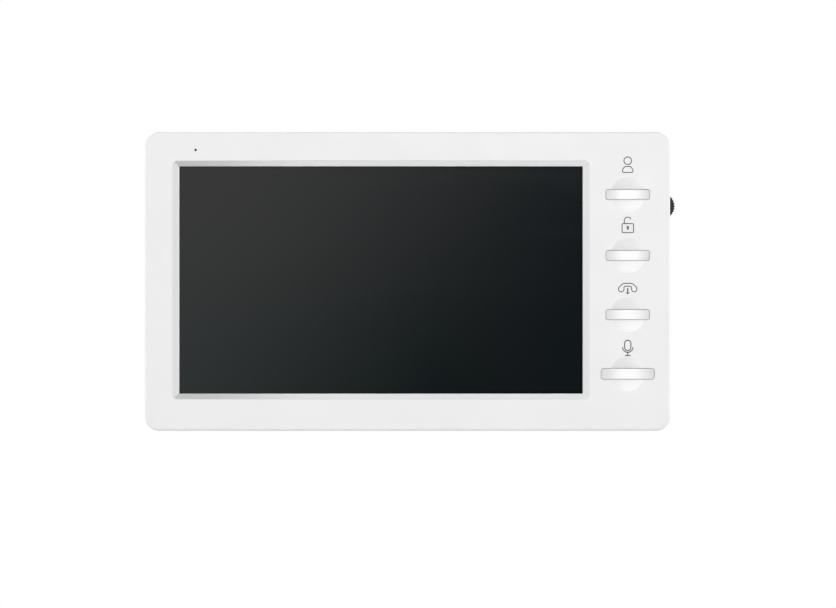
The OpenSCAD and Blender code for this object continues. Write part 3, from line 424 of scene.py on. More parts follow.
@dataclass(frozen=True)
class MouldedPlastic(Finish):
    """Moulded plastic with a fine spark-eroded grain.

    The tone drifts by about a hundredth.  The dimples, where fingers rub, are smoother, and so
    are patches of the outline, where a cloth passes over it.
    """

    grain: float = 5200.0
    grain_depth: float = 6e-6
    drift: float = 0.985
    rounding: float = 0.12 * MM
    specular: float = 0.5
    outline: Optional[Pair] = None
    painted_shade: Optional[PaintedFaceShade] = None
    polish: float = 0.28
    rubbed: Pair = (1.3 * DIMPLE_RADIUS, 0.4 * DIMPLE_RADIUS)
    wiped: float = 2.2 * MM
    swing: Pair = (0.03, 0.03)
    clouds: Noise = Noise(14.0, 3.0, (0.35, 0.65))
    wipes: Noise = Noise(160.0, 3.0, (0.4, 0.7))
    sheen: Noise = Noise(90.0, 2.0)
    flow: Noise = Noise(420.0, 1.0)

    def rubbing(self, graph: Graph) -> Value:
        """Share of polish: 1 in the middle of each dimple, and noisy along the outline.

        Args:
            graph: Graph that takes it.

        Returns:
            The share, which is 0 all over where nothing rubs.
        """
        x, _, z = graph.axes()
        share: Value = 0.0
        if self.painted_shade:
            share = self.painted_shade.away(graph).ramp(*self.rubbed)
        if self.outline:
            edge = past(x, z, (0.0, 0.0), self.outline).ramp(-self.wiped, 0.0)
            share = (edge * graph.noise(self.wipes)).most(share)
        return share

    def shader(self, graph: Graph) -> Field:
        """Draws the plastic.

        Args:
            graph: Graph that takes it.

        Returns:
            The shader.
        """
        colour = self.toned(graph, graph.noise(self.clouds), self.drift)
        # Painted light and shade of the front face, where the finish carries it.
        if self.painted_shade:
            colour = graph.mix(self.painted_shade.tone(graph), BLACK, colour)
        share = self.rubbing(graph)
        gloss = self.gloss(graph.noise(self.sheen), self.swing)
        if isinstance(share, Field):
            gloss = gloss - share * (self.polish * self.roughness)
        grain = graph.noise(Noise(self.grain, 2.0)) * 0.8 + graph.noise(self.flow) * 0.6
        normal = graph.relief(grain, self.grain_depth, self.rounding)
        return self.principled(graph, colour, gloss, normal, Specular_IOR_Level=self.specular)


@dataclass(frozen=True)
class LacqueredKey(Finish):
    """A white key under clear lacquer with a broad gloss, greyer inside the case as painted shade.

    That painted shade stands for the gap round the key.  In the dimple it starts further down,
    by the depth of a parabola across the middle.
    """

    face: float = 0.0
    middle: float = 0.0
    dish: Pair = (DIMPLE_RADIUS, 1.5 * MM)
    soft: float = 0.3 * MM
    painted_gap_tone: float = 0.45
    coat_ior: float = 1.95
    drift: float = 0.985
    swing: Pair = (0.02, 0.02)
    clouds: Noise = Noise(60.0, 3.0, (0.35, 0.65))
    sheen: Noise = Noise(300.0, 2.0)
    flow: Noise = Noise(700.0, 1.0)
    flow_depth: float = 1.5e-6

    def shader(self, graph: Graph) -> Field:
        """Draws the lacquer and the white below it.

        Args:
            graph: Graph that takes it.

        Returns:
            The shader.
        """
        colour = self.toned(graph, graph.noise(self.clouds), self.drift)
        x, y, _ = graph.axes()
        # Painted shade in the gap: below the face, and below the dish in the dimple, the key is
        # greyer.
        sunk = (1.0 - ((x - self.middle) / self.dish[0]) ** 2.0).most(0.0) * self.dish[1]
        painted_gap_shade = (y - self.face - sunk).ramp(0.0, self.soft)
        return self.principled(
            graph,
            graph.mix(painted_gap_shade, colour, shade(self.colour, self.painted_gap_tone)),
            self.gloss(graph.noise(self.sheen), self.swing),
            graph.relief(graph.noise(self.flow), self.flow_depth),
            Coat_Weight=1.0,
            Coat_Roughness=self.roughness,
            Coat_IOR=self.coat_ior,
        )


@dataclass(frozen=True)
class SmokedGlass(Finish):
    """A hard clear window over a dark display, whose gloss is smeared by wiping.

    Its tint drifts a little at random and runs across it as painted reflection.  Painted shade
    darkens it towards the low left corner, and a black line runs round its opening.
    """

    painted_reflection_tint: Colour = (0.0036, 0.0062, 0.0075)
    painted_low_shade: Colour = (0.0008, 0.0042, 0.0047)
    reach: float = 85.0 * MM
    low_reach: Pair = (30.6 * MM, -35.7 * MM)
    left_reach: Pair = (45.05 * MM, 5.1 * MM)
    centre: Pair = (0.0, 0.0)
    opening: Optional[Pair] = None
    line: Pair = (-0.495 * MM, -0.405 * MM)
    clouds: Noise = Noise(7.0, 1.0)
    cloudy: float = 0.1
    smears: Noise = Noise(1.0, 4.0, (0.45, 0.75), (9.0, 9.0, 60.0))
    smeared: float = 0.02
    ior: float = 1.49

    def shader(self, graph: Graph) -> Field:
        """Draws the window.

        Args:
            graph: Graph that takes it.

        Returns:
            The shader.
        """
        x, _, z = graph.axes()
        # Painted reflection: the tint changes from left to right, and drifts a little at random.
        even = x.ramp(-self.reach, self.reach) * (1.0 - self.cloudy)
        drift = even + graph.noise(self.clouds) * self.cloudy
        colour = graph.mix(drift, self.colour, self.painted_reflection_tint)
        if self.opening:
            # Painted shade towards the low left corner.
            low = z.ramp(*self.low_reach) * x.ramp(*self.left_reach)
            colour = graph.mix(low, colour, self.painted_low_shade)
            line = past(x, z, self.centre, self.opening).ramp(*self.line)
            colour = graph.mix(line, colour, BLACK)
        gloss = graph.noise(self.smears) * self.smeared + self.roughness
        return self.principled(graph, colour, gloss, None, IOR=self.ior)


class MetalSkin(Enum):
    """How a metal surface came to look as it does."""

    PLATED = "plated"
    SPANGLED = "spangled"
    ROLLED = "rolled"
    PAINTED = "painted"


@dataclass(frozen=True)
class Metal(Finish):
    """A metal surface whose skin is plated, spangled with zinc, rolled or painted.

    Screws that face backwards may give the level of their heads, below which shade is painted.
    """

    skin: MetalSkin = MetalSkin.PLATED
    rounding: float = 0.1 * MM
    head: Optional[float] = None
    stain_tone: float = 0.7
    painted_recess_tone: float = 0.25
    painted_recess_depth: Pair = (0.1 * MM, 0.6 * MM)
    worn_tone: float = 0.82
    wear_and_painted_shade: Pair = (0.2, 0.8)
    swing: Pair = (0.06, 0.08)
    relief: float = 4e-6
    flakes: float = 260.0
    fine: Noise = Noise(2600.0, 2.0)
    feather: Noise = Noise(1.0, 2.0, stretch=(300.0, 300.0, 2200.0))
    streaks: Noise = Noise(1.0, 3.0, stretch=(60.0, 60.0, 2400.0))
    dull: Noise = Noise(120.0, 3.0)
    stains: Noise = Noise(40.0, 4.0, (0.55, 0.8))

    def shader(self, graph: Graph) -> Field:
        """Draws the metal.

        Args:
            graph: Graph that takes it.

        Returns:
            The shader.
        """
        fine = graph.noise(self.fine)
        if self.skin is MetalSkin.SPANGLED:
            flake = graph.node("ShaderNodeSeparateColor", {0: graph.cells(self.flakes, "Color")})
            tone = flake * 0.4 + graph.noise(self.feather) * 0.25 + fine * 0.35
            height = flake * 0.6 + fine * 0.4
        elif self.skin is MetalSkin.ROLLED:
            tone = height = graph.noise(self.streaks)
        else:
            tone, height = graph.noise(self.dull), fine
        stain = graph.noise(self.stains)
        colour = self.toned(graph, tone.ramp(*self.wear_and_painted_shade), self.worn_tone)
        colour = graph.mix(stain * 0.5, colour, shade(self.colour, self.stain_tone))
        # Painted shade in the recess: below the level of the heads the screws are darker.
        if self.head is not None:
            sunk = graph.axes()[1].ramp(*(self.head - depth for depth in self.painted_recess_depth))
            colour = graph.mix(sunk, colour, shade(self.colour, self.painted_recess_tone))
        gloss = self.gloss(tone, self.swing, self.wear_and_painted_shade) + stain * 0.1
        normal = graph.relief(height, self.relief, self.rounding)
        metallic = 0.0 if self.skin is MetalSkin.PAINTED else 1.0
        return self.principled(graph, colour, gloss, normal, Metallic=metallic)


@dataclass(frozen=True)
class CircuitBoard(Finish):
    """Green lacquer over copper tracks: bands of parallel lines, their crossings and round pads."""

    track_tone: Colour = (0.02, 0.16, 0.06)
    pad_tone: Colour = (0.62, 0.60, 0.55)
    pitch: float = 1.4 * MM
    line: Pair = (0.2, 0.14)
    band: Pair = (0.50, 0.53)
    pads: float = 210.0
    pad_size: Pair = (0.16, 0.13)
    hole_size: Pair = (0.05, 0.08)
    swing: Pair = (0.06, 0.06)
    sheen: Noise = Noise(70.0, 2.0)
    fine: Noise = Noise(900.0, 1.0)
    relief: float = 3e-5

    def tracks(self, graph: Graph) -> Field:
        """Share of track: lines one pitch apart, kept only in bands that noise picks out.

        Args:
            graph: Graph that takes it.

        Returns:
            The share.
        """
        x, _, z = graph.axes()
        shares = []
        for across, stretch in ((z, (60.0, 9.0, 400.0)), (x, (400.0, 9.0, 60.0))):
            line = abs((across / self.pitch).fraction() - 0.5).ramp(*self.line)
            shares.append(line * graph.noise(Noise(1.0, 1.0, self.band, stretch)))
        return shares[0].most(shares[1])

    def shader(self, graph: Graph) -> Field:
        """Draws the board.

        Args:
            graph: Graph that takes it.

        Returns:
            The shader.
        """
        track = self.tracks(graph)
        away = graph.cells(self.pads)
        pad = away.ramp(*self.pad_size) * away.ramp(*self.hole_size)
        colour = graph.mix(pad, graph.mix(track, self.colour, self.track_tone), self.pad_tone)
        gloss = self.gloss(graph.noise(self.sheen), self.swing)
        height = track.most(pad) * 0.8 + graph.noise(self.fine) * 0.2
        normal = graph.relief(height, self.relief)
        return self.principled(graph, colour, gloss, normal, Metallic=pad * 0.9)


@dataclass(frozen=True)
class FlatRibbon(Finish):
    """Film over parallel conductors that show through it as lines one pitch apart."""

    line_tone: Colour = (0.5, 0.2, 0.06)
    pitch: float = MM
    across_x: bool = True
    line: Pair = (0.32, 0.24)
    scuffs: Noise = Noise(260.0, 3.0, (0.4, 0.75))
    scuff_tone: float = 1.3
    relief: float = 2e-5

    def shader(self, graph: Graph) -> Field:
        """Draws the ribbon.

        Args:
            graph: Graph that takes it.

        Returns:
            The shader.
        """
        x, _, z = graph.axes()
        across = x if self.across_x else z
        line = abs((across / self.pitch).fraction() - 0.5).ramp(*self.line)
        scuff = graph.noise(self.scuffs)
        colour = graph.mix(line, self.colour, self.line_tone)
        colour = graph.mix(scuff * 0.25, colour, shade(self.colour, self.scuff_tone))
        gloss = scuff * 0.2 + self.roughness
        return self.principled(graph, colour, gloss, graph.relief(line, self.relief))


@dataclass(frozen=True)
class Matte(Finish):
    """Rubber, foam, moulded epoxy or ferrite: a dull body with pores and a little dust."""

    pore: float = 1500.0
    depth: float = 2e-5
    dust: Colour = (0.35, 0.34, 0.32)
    dusty: float = 0.12
    open_pore: Pair = (0.1, 0.7)
    pore_tone: float = 0.75
    drifts: Noise = Noise(55.0, 5.0, (0.5, 0.8))

    def shader(self, graph: Graph) -> Field:
        """Draws the dull body.

        Args:
            graph: Graph that takes it.

        Returns:
            The shader.
        """
        pores = graph.cells(self.pore).ramp(*self.open_pore)
        settled = graph.noise(self.drifts)
        colour = self.toned(graph, pores, self.pore_tone)
        colour = graph.mix(settled * self.dusty, colour, self.dust)
        gloss = settled * 0.1 + self.roughness
        return self.principled(graph, colour, gloss, graph.relief(pores, self.depth))


@dataclass(frozen=True)
class PressedPaper(Finish):
    """Pressed paper pulp with short fibres laid every way."""

    upright: Noise = Noise(1.0, 3.0, stretch=(2600.0, 400.0, 500.0))
    level: Noise = Noise(1.0, 3.0, stretch=(500.0, 400.0, 2600.0))
    turn: Pair = (0.45, 0.75)
    fibre_tone: float = 1.9
    relief: float = 3e-5

    def shader(self, graph: Graph) -> Field:
        """Draws the paper.

        Args:
            graph: Graph that takes it.

        Returns:
            The shader.
        """
        fibre = graph.noise(self.upright).most(graph.noise(self.level)).ramp(*self.turn)
        colour = graph.mix(fibre, self.colour, shade(self.colour, self.fibre_tone))
        gloss = fibre * -0.1 + self.roughness
        return self.principled(graph, colour, gloss, graph.relief(fibre, self.relief))


@dataclass(frozen=True)
class PrintedInk(Finish):
    """Pad-printed ink: even, with a slightly thinner film in spots."""

    thin_tone: Colour = grey(0.11)
    thin: Pair = (0.55, 0.8)
    swing: Pair = (0.05, 0.08)
    film: Noise = Noise(2200.0, 3.0)
    relief: float = 3e-6

    def shader(self, graph: Graph) -> Field:
        """Draws the ink.

        Args:
            graph: Graph that takes it.

        Returns:
            The shader.
        """
        film = graph.noise(self.film)
        colour = graph.mix(film.ramp(*self.thin), self.colour, self.thin_tone)
        gloss = self.gloss(film, self.swing)
        return self.principled(graph, colour, gloss, graph.relief(film, self.relief))


@dataclass(frozen=True)
class StudioPaper(Finish):
    """The floor's pale paper, with a faint tooth."""

    tooth: Noise = Noise(900.0, 3.0)
    tooth_tone: float = 0.985
    relief: float = 5e-5

    def shader(self, graph: Graph) -> Field:
        """Draws the paper.

        Args:
            graph: Graph that takes it.

        Returns:
            The shader.
        """
        tooth = graph.noise(self.tooth)
        colour = self.toned(graph, tooth, self.tooth_tone)
        return self.principled(graph, colour, self.roughness, graph.relief(tooth, self.relief))


@dataclass(frozen=True)
class CardGlow(Finish):
    """The glow of a card, lightest at its upper left and falling along a slanting line."""

    fall: Triple = (2.578, -1.726, 0.637)
    turn: Pair = (0.0, 1.05)
    levels: Pair = (0.87, 0.05)

    def shader(self, graph: Graph) -> Field:
        """Draws the glow.

        Args:
            graph: Graph that takes it.

        Returns:
            The shader.
        """
        x, _, z = graph.axes()
        by_x, by_z, start = self.fall
        light = (x * by_x + z * by_z + start).ramp(*self.turn, *self.levels)
        return graph.node("ShaderNodeEmission", {"Color": self.colour, "Strength": light})


# Surfaces


def added(name: str, data: bpy.types.ID) -> bpy.types.Object:
    """Puts a mesh, lamp or camera in the scene, at the origin.

    Args:
        name: Its name.
        data: The mesh, lamp or camera.

    Returns:
        Its object.
    """
    made = bpy.data.objects.new(name, data)
    bpy.context.scene.collection.objects.link(made)
    return made


def middle_and_half(node: str) -> tuple[Pair, Pair]:
    """The middle of a node as it is seen from the front, and half its width and height."""
    (left, _, bottom), (right, _, top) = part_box(node)
    return ((left + right) / 2, (bottom + top) / 2), ((right - left) / 2, (top - bottom) / 2)


@dataclass
class Shell:
    """A closed surface: points, four-sided faces and three-sided faces."""

    points: Array
    quads: Array
    triangles: Array

    @classmethod
    def from_rings(cls, rings: Array, wrapped: bool = False) -> "Shell":
        """Joins rings of points into a closed surface.

        The point in row i and column j is joined to its neighbours in row and column, and the
        columns run round.  The rows run round too where wrapped is set, and otherwise a point in
        the middle of the first ring and one in the middle of the last close the two ends.  Rings
        turn to the left as seen from ahead of the way they go, so that faces point outwards.

        Args:
            rings: Points as rows, columns and three coordinates.
            wrapped: Whether the last ring joins the first.

        Returns:
            The surface.
        """
        rows, columns, _ = rings.shape
        points = rings.reshape(-1, 3)
        ring = np.arange(columns)
        turned = np.roll(ring, -1)
        row = np.arange(rows if wrapped else rows - 1)[:, None] * columns
        below = (row + columns) % (rows * columns)
        quads = np.stack([row + ring, row + turned, below + turned, below + ring], 2).reshape(-1, 4)
        if wrapped:
            return cls(points, quads, np.zeros((0, 3), int))
        last = ring + (rows - 1) * columns
        start = np.stack([turned, ring, np.full(columns, len(points))], 1)
        end = np.stack([last, last[turned], np.full(columns, len(points) + 1)], 1)
        points = np.concatenate([points, rings[:1].mean(1), rings[-1:].mean(1)])
        return cls(points, quads, np.concatenate([start, end]))

    @classmethod
    def joined(cls, shells: Sequence["Shell"]) -> "Shell":
        """Puts several surfaces into one, their points one after another.

        Args:
            shells: The surfaces.

        Returns:
            All of them as one.
        """
        starts = np.cumsum([0] + [len(s.points) for s in shells[:-1]])
        quads = [s.quads + start for s, start in zip(shells, starts)]
        triangles = [s.triangles + start for s, start in zip(shells, starts)]
        return cls(*map(np.concatenate, ([s.points for s in shells], quads, triangles)))

    def to_object(self, name: str, finish: Finish, crease: float = 40.0) -> bpy.types.Object:
        """Makes an object at the origin from points drawn x to the right, y up and z out.

        Args:
            name: The object's name.
            finish: What covers it.
            crease: Angle in degrees past which an edge stays sharp.

        Returns:
            The object, linked to the scene.
        """
        mesh = bpy.data.meshes.new(name)
        x, y, z = self.points.T
        faces = [*self.quads.tolist(), *self.triangles.tolist()]
        mesh.from_pydata(np.stack([x, -z, y], 1).tolist(), [], faces)
        mesh.validate()
        mesh.shade_smooth()
        mesh.set_sharp_from_angle(angle=math.radians(crease))
        mesh.materials.append(finish.material())
        return added(name, mesh)


def rounded_ring(
    half_w: float, half_h: float, radius: float, corner: int, side: int
) -> tuple[Array, Array]:
    """A rectangle with round corners, turning left from the middle of its right side.

    A point lies at the nearest corner's centre plus the radius along its outward direction.  The
    direction turns through the corners and stands still along the sides.

    Args:
        half_w: Half its width.
        half_h: Half its height.
        radius: Corner radius.
        corner: Steps round each corner.
        side: Steps along each side.

    Returns:
        The points, and the outward direction at each.
    """
    centres = np.array([[1, 1], [-1, 1], [-1, -1], [1, -1]]) * [half_w - radius, half_h - radius]
    turn = np.linspace(0.0, 0.5 * np.pi, corner + 1) + 0.5 * np.pi * np.arange(4)[:, None]
    out = np.stack([np.cos(turn), np.sin(turn)], 2)
    arcs = centres[:, None] + radius * out
    share = np.linspace(0.0, 1.0, side + 1)[1:-1, None]
    sides = arcs[:, -1:] + share * (np.roll(arcs[:, :1], -1, axis=0) - arcs[:, -1:])
    still = np.repeat(out[:, -1:], side - 1, axis=1)
    ring, outward = np.concatenate([arcs, sides], 1), np.concatenate([out, still], 1)
    return ring.reshape(-1, 2), outward.reshape(-1, 2)


@dataclass(frozen=True)
class BarShape:
    """A key's corner radius, how far its middle stands over its ends, and how late it bends."""

    radius: float
    crown: float
    power: float


@dataclass
class KeyBar:
    """One moulded key, built as level rings from the end of its stem to the top of its crown.

    A level ring is the bar's outline moved in or out, at one height.  Over the bar the height is
    the middle's less the crown times a power of the share of the way to the end, and a quarter
    circle rounds the edge.
    """

    node: str
    shape: BarShape
    finish: Finish
    lap: float = 1.15 * MM
    flange: float = 1.0 * MM
    flange_break: float = 0.05 * MM
    stem_length: float = 2.0 * MM
    stem_radius: float = 1.8 * MM
    stem_break: float = 0.1
    fillet: float = 0.22 * MM
    fillet_steps: int = 6
    inner_shares: tuple[float, ...] = (0.93, 0.8, 0.6, 0.4, 0.2, 0.06)

    def rings(self) -> Array:
        """Works out the rings.

        Returns:
            Points as rings, places round them and three coordinates, drawn lying down.
        """
        low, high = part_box(self.node)
        middle, half = middle_and_half(self.node)
        half_w, half_h = (size - self.lap for size in half)
        z_end, z_top = -high.y, -low.y
        z_flange = z_end + self.stem_length
        z_bar = z_flange + self.flange
        edge, out = rounded_ring(half_w, half_h, self.shape.radius, corner=8, side=24)

        def level(points: Array, height: Union[float, Array]) -> Array:
            """A ring at a height."""
            return np.column_stack([points, np.broadcast_to(height, len(points))])

        def crowned(points: Array, drop: float = 0.0) -> Array:
            """A ring that follows the crown, lowered by drop."""
            to_end = np.abs(points[:, 0]) / half_w
            return level(points, z_top - drop - self.shape.crown * to_end**self.shape.power)

        round_way = np.arctan2(edge[:, 1], edge[:, 0])
        stem = self.stem_radius * np.stack([np.cos(round_way), np.sin(round_way)], 1)
        wide = edge + self.lap * out
        rings = [level(stem * (1.0 - self.stem_break), z_end)]
        rings += [level(stem, z_end + self.stem_break * self.stem_radius), level(stem, z_flange)]
        rings += [level(wide - self.flange_break * out, z_flange)]
        rings += [level(wide, z_flange + self.flange_break), level(wide, z_bar), level(edge, z_bar)]
        for turn in np.linspace(0.0, 0.5 * np.pi, self.fillet_steps + 1):
            inset, drop = self.fillet * (1 - np.cos(turn)), self.fillet * (1 - np.sin(turn))
            rings.append(crowned(edge - inset * out, drop))
        brink = edge - self.fillet * out
        rings += [crowned(brink * share) for share in self.inner_shares]
        placed = np.array(rings)
        placed[:, :, :2] += middle
        return placed

    def build(self) -> bpy.types.Object:
        """Makes the key, which stands for its node and rides on its body.

        Returns:
            The key.
        """
        shell = Shell.from_rings(self.rings())
        piece = shell.to_object(f"{self.node}_bar", self.finish, crease=35.0)
        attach(piece, self.node)
        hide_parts(self.node)
        return piece


@dataclass
class KnurledWheel:
    """The volume wheel: one profile carried round a circle, with grooves across its rim.

    The profile is a closed line of radius and height.  A groove is a circular dent: it takes the
    square root of what its radius squared leaves over the distance squared from its middle, and
    fades out from the rim towards the hub.
    """

    finish: Finish
    node: str = "volume_wheel"
    grips: int = 30
    grip_radius: float = 0.28 * MM
    bore: float = 0.85 * MM
    hub: float = 1.5 * MM
    hub_depth: float = 0.6 * MM
    hub_break: float = 0.1 * MM
    chamfer: float = 0.3 * MM
    face_shares: Pair = (0.6, 0.82)
    fade: float = 0.12
    steps: int = 14

    def profile(self, radius: float, height: float) -> Array:
        """The closed profile, as radius and height, turning left.

        Args:
            radius: The wheel's radius.
            height: Its height.

        Returns:
            The line's points.
        """
        soft = np.linspace(0.0, 0.5 * np.pi, 5)
        short, shorter = self.chamfer * (1 - np.sin(soft)), self.chamfer * (1 - np.cos(soft))
        low_rim = np.stack([radius - short, shorter], 1)
        high_rim = np.stack([radius - shorter, height - short], 1)
        inner, outer = (share * radius for share in self.face_shares)
        floor = height - self.hub_depth
        foot = [[self.bore, 0.0], [inner, 0.0], [outer, 0.0]]
        head = [[outer, height], [inner, height], [self.hub + self.hub_break, height]]
        sunk = [[self.hub, height - self.hub_break], [self.hub, floor], [self.bore, floor]]
        return np.concatenate([foot, low_rim, high_rim, head, sunk])

    def build(self) -> bpy.types.Object:
        """Makes the wheel, which stands for its node.

        Returns:
            The wheel.
        """
        low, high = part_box(self.node)
        middle, half = middle_and_half(self.node)
        radius = max(half)
        line_out, line_up = self.profile(radius, high.y - low.y).T[:, :, None]
        angle = np.linspace(0.0, 2 * np.pi, self.grips * self.steps, endpoint=False)
        pitch = 2 * np.pi / self.grips
        away = (np.mod(angle, pitch) - pitch / 2) * radius
        dent = np.sqrt(np.clip(self.grip_radius**2 - away**2, 0.0, None))
        fade = np.clip((line_out / radius - self.face_shares[1]) / self.fade, 0.0, 1.0)
        reach = line_out - dent * fade * fade * (3 - 2 * fade)
        height = np.broadcast_to(line_up - high.y, reach.shape)
        across, up = middle[0] + reach * np.cos(angle), middle[1] + reach * np.sin(angle)
        rings = np.stack([across, up, height], 2)
        shell = Shell.from_rings(rings, wrapped=True)
        made = shell.to_object(f"{self.node}_knurled", self.finish, crease=32.0)
        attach(made, "volume_wheel")
        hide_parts(self.node)
        return made


# Printed signs


def arc(centre: Pair, radius: float, start: float, end: float, steps: int) -> Array:
    """Points on a circle: its centre plus the radius in evenly turned directions (degrees)."""
    turn = np.radians(np.linspace(start, end, steps + 1))
    return np.array(centre) + np.stack([np.cos(turn), np.sin(turn)], 1) * radius


@dataclass
class Stroke:
    """A line of print, in millimetres: a low flat-topped profile carried along a path.

    The path is cut into even steps.  The profile lies across it, as wide as the line.  At an open
    end its width falls off as the square root of one less the distance past the last half width
    squared, which makes the end round.
    """

    path: Union[Array, Sequence[Pair]]
    width: float = 0.335
    closed: bool = False
    film: float = 0.03
    sunk: float = 0.02
    step: float = 0.07
    fewest: int = 8
    top_share: float = 0.9
    rim_share: float = 0.6
    tip_share: float = 0.004

    def shell(self, middle: Pair, face: float) -> Shell:
        """Builds the line.

        Args:
            middle: The sign's middle, in metres.
            face: Level of the face that carries the print.

        Returns:
            Its closed surface.
        """
        path = np.array([*self.path, *self.path[:1]]) if self.closed else np.array(self.path)
        run = np.concatenate([[0.0], np.cumsum(np.linalg.norm(np.diff(path, axis=0), axis=1))])
        count = max(self.fewest, int(run[-1] / self.step))
        at = np.linspace(0.0, run[-1], count + 1)[: count if self.closed else None]
        points = np.stack([np.interp(at, run, path[:, k]) for k in range(2)], 1)
        if self.closed:
            along = np.roll(points, -1, axis=0) - np.roll(points, 1, axis=0)
            half = np.full(len(points), self.width / 2)
        else:
            along = np.gradient(points, axis=0)
            tip = np.clip(1 - np.minimum(at, run[-1] - at) / (self.width / 2), 0.0, 1.0)
            half = self.width / 2 * np.sqrt(np.clip(1 - tip**2, self.tip_share, 1.0))
        along /= np.linalg.norm(along, axis=1, keepdims=True)
        across = np.stack([-along[:, 1], along[:, 0]], 1)
        top, rim = self.top_share, self.rim_share * self.film
        spread = np.array([1.0, top, -top, -1.0, -1.0, 1.0])
        rise = np.array([rim, self.film, self.film, rim, -self.sunk, -self.sunk])
        flat = points[:, None] + across[:, None] * (half[:, None] * spread[None, :])[:, :, None]
        level = np.broadcast_to(rise, flat.shape[:2])
        rings = np.concatenate([flat, level[:, :, None]], 2) * MM + [*middle, face]
        return Shell.from_rings(rings, wrapped=self.closed)


class Sign(Enum):
    """The four generic signs over the keys."""

    PERSON = "person"
    OPEN_LOCK = "open_lock"
    HANG_UP = "hang_up"
    MICROPHONE = "microphone"


@dataclass
class PrintedSigns:
    """Signs printed on the front cover over the keys, drawn in millimetres from their middles."""

    finish: Finish
    across: float = 84.7 * MM
    heights: tuple[float, ...] = (44.9 * MM, 21.6 * MM, -2.7 * MM, -25.5 * MM)
    bold: float = 0.39

    @staticmethod
    def mirrored(half: Array) -> Array:
        """A closed outline whose left half mirrors its right half."""
        return np.concatenate([half, (half * [-1, 1])[::-1]])

    def strokes(self, sign: Sign) -> list[Stroke]:
        """The lines that make a sign.

        Args:
            sign: Which sign.

        Returns:
            Its strokes.
        """
        if sign is Sign.PERSON:
            hip = [[2.02, -2.1], [1.93, -1.8], [1.72, -1.47]]
            slope = [[1.42, -1.1], [1.12, -0.79], [0.86, -0.69]]
            side = np.concatenate([arc((1.57, -2.53), 0.45, -90, 0, 6), hip, slope])
            head = arc((0.0, 1.52), 1.46, 0, 350, 35)
            return [Stroke(head, closed=True), Stroke(self.mirrored(side), closed=True)]
        if sign is Sign.OPEN_LOCK:
            box, _ = rounded_ring(2.21, 1.73, 0.45, corner=6, side=3)
            hoop = arc((0.0, 1.82), 1.34, 186, 18, 20)
            return [
                Stroke(box + [0.03, -1.08], closed=True),
                Stroke(np.concatenate([[[-1.33, 0.65], [-1.33, 1.5]], hoop])),
                Stroke(arc((0.0, -0.78), 0.33, 0, 340, 17), width=0.4, closed=True),
                Stroke([(0.06, -1.0), (0.06, -1.8)], width=0.56),
            ]
        if sign is Sign.HANG_UP:
            back = [[0.0, 1.98], [1.35, 1.98], [1.75, 1.84], [2.3, 1.46], [2.9, 0.92]]
            ear = np.concatenate([[[3.32, 0.42], [3.5, 0.1]], arc((2.5, -0.28), 1.02, 8, -168, 14)])
            lap = [[1.42, 0.05], [1.46, 0.4], [1.3, 0.72], [1.02, 0.85]]
            half = np.concatenate([back, ear, lap])
            return [
                Stroke(self.mirrored(half), closed=True),
                Stroke([(0.0, 0.25), (0.0, -2.0)], width=0.48),
                Stroke([(-0.8, -1.55), (0.0, -2.05), (0.8, -1.55)], width=0.24),
            ]
        capsule, _ = rounded_ring(1.19, 1.98, 1.18, corner=10, side=4)
        return [
            Stroke(capsule + [0.0, 0.91], self.bold, closed=True),
            Stroke(arc((0.0, 0.25), 2.0, 178, 362, 30), self.bold),
            Stroke([(0.0, -1.75), (0.0, -2.9)], self.bold),
            Stroke([(-1.13, -2.94), (1.13, -2.94)], self.bold),
        ]

    def build(self) -> list[bpy.types.Object]:
        """Makes the four signs, which ride with the monitor.

        Returns:
            The signs.
        """
        face = -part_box("front_cover")[0].y
        made = []
        for sign, height in zip(Sign, self.heights):
            shells = [stroke.shell((self.across, height), face) for stroke in self.strokes(sign)]
            shell = Shell.joined(shells)
            piece = shell.to_object(f"{sign.value}_sign", self.finish, crease=60.0)
            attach(piece, "monitor")
            made.append(piece)
        return made


# Sub-assemblies


def dress(finish: Finish, *nodes: str) -> list[bpy.types.Object]:
    """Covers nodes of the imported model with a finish.

    Args:
        finish: The finish.
        *nodes: Names of the nodes.

    Returns:
        Their objects.
    """
    pieces = [frame["nodes"][node] for node in nodes]
    for piece in pieces:
        for place in piece.material_slots:
            place.material = finish.material()
    return pieces


def screen_opening() -> tuple[Pair, Pair]:
    """The middle of the screen's opening and half its size; the window laps over it."""
    centre, half = middle_and_half("screen_window")
    return centre, (half[0] - WINDOW_LAP, half[1] - WINDOW_LAP)


SMALL_SCREW = Metal("small_screw", (0.62, 0.61, 0.58), 0.32, rounding=FINE_EDGE)


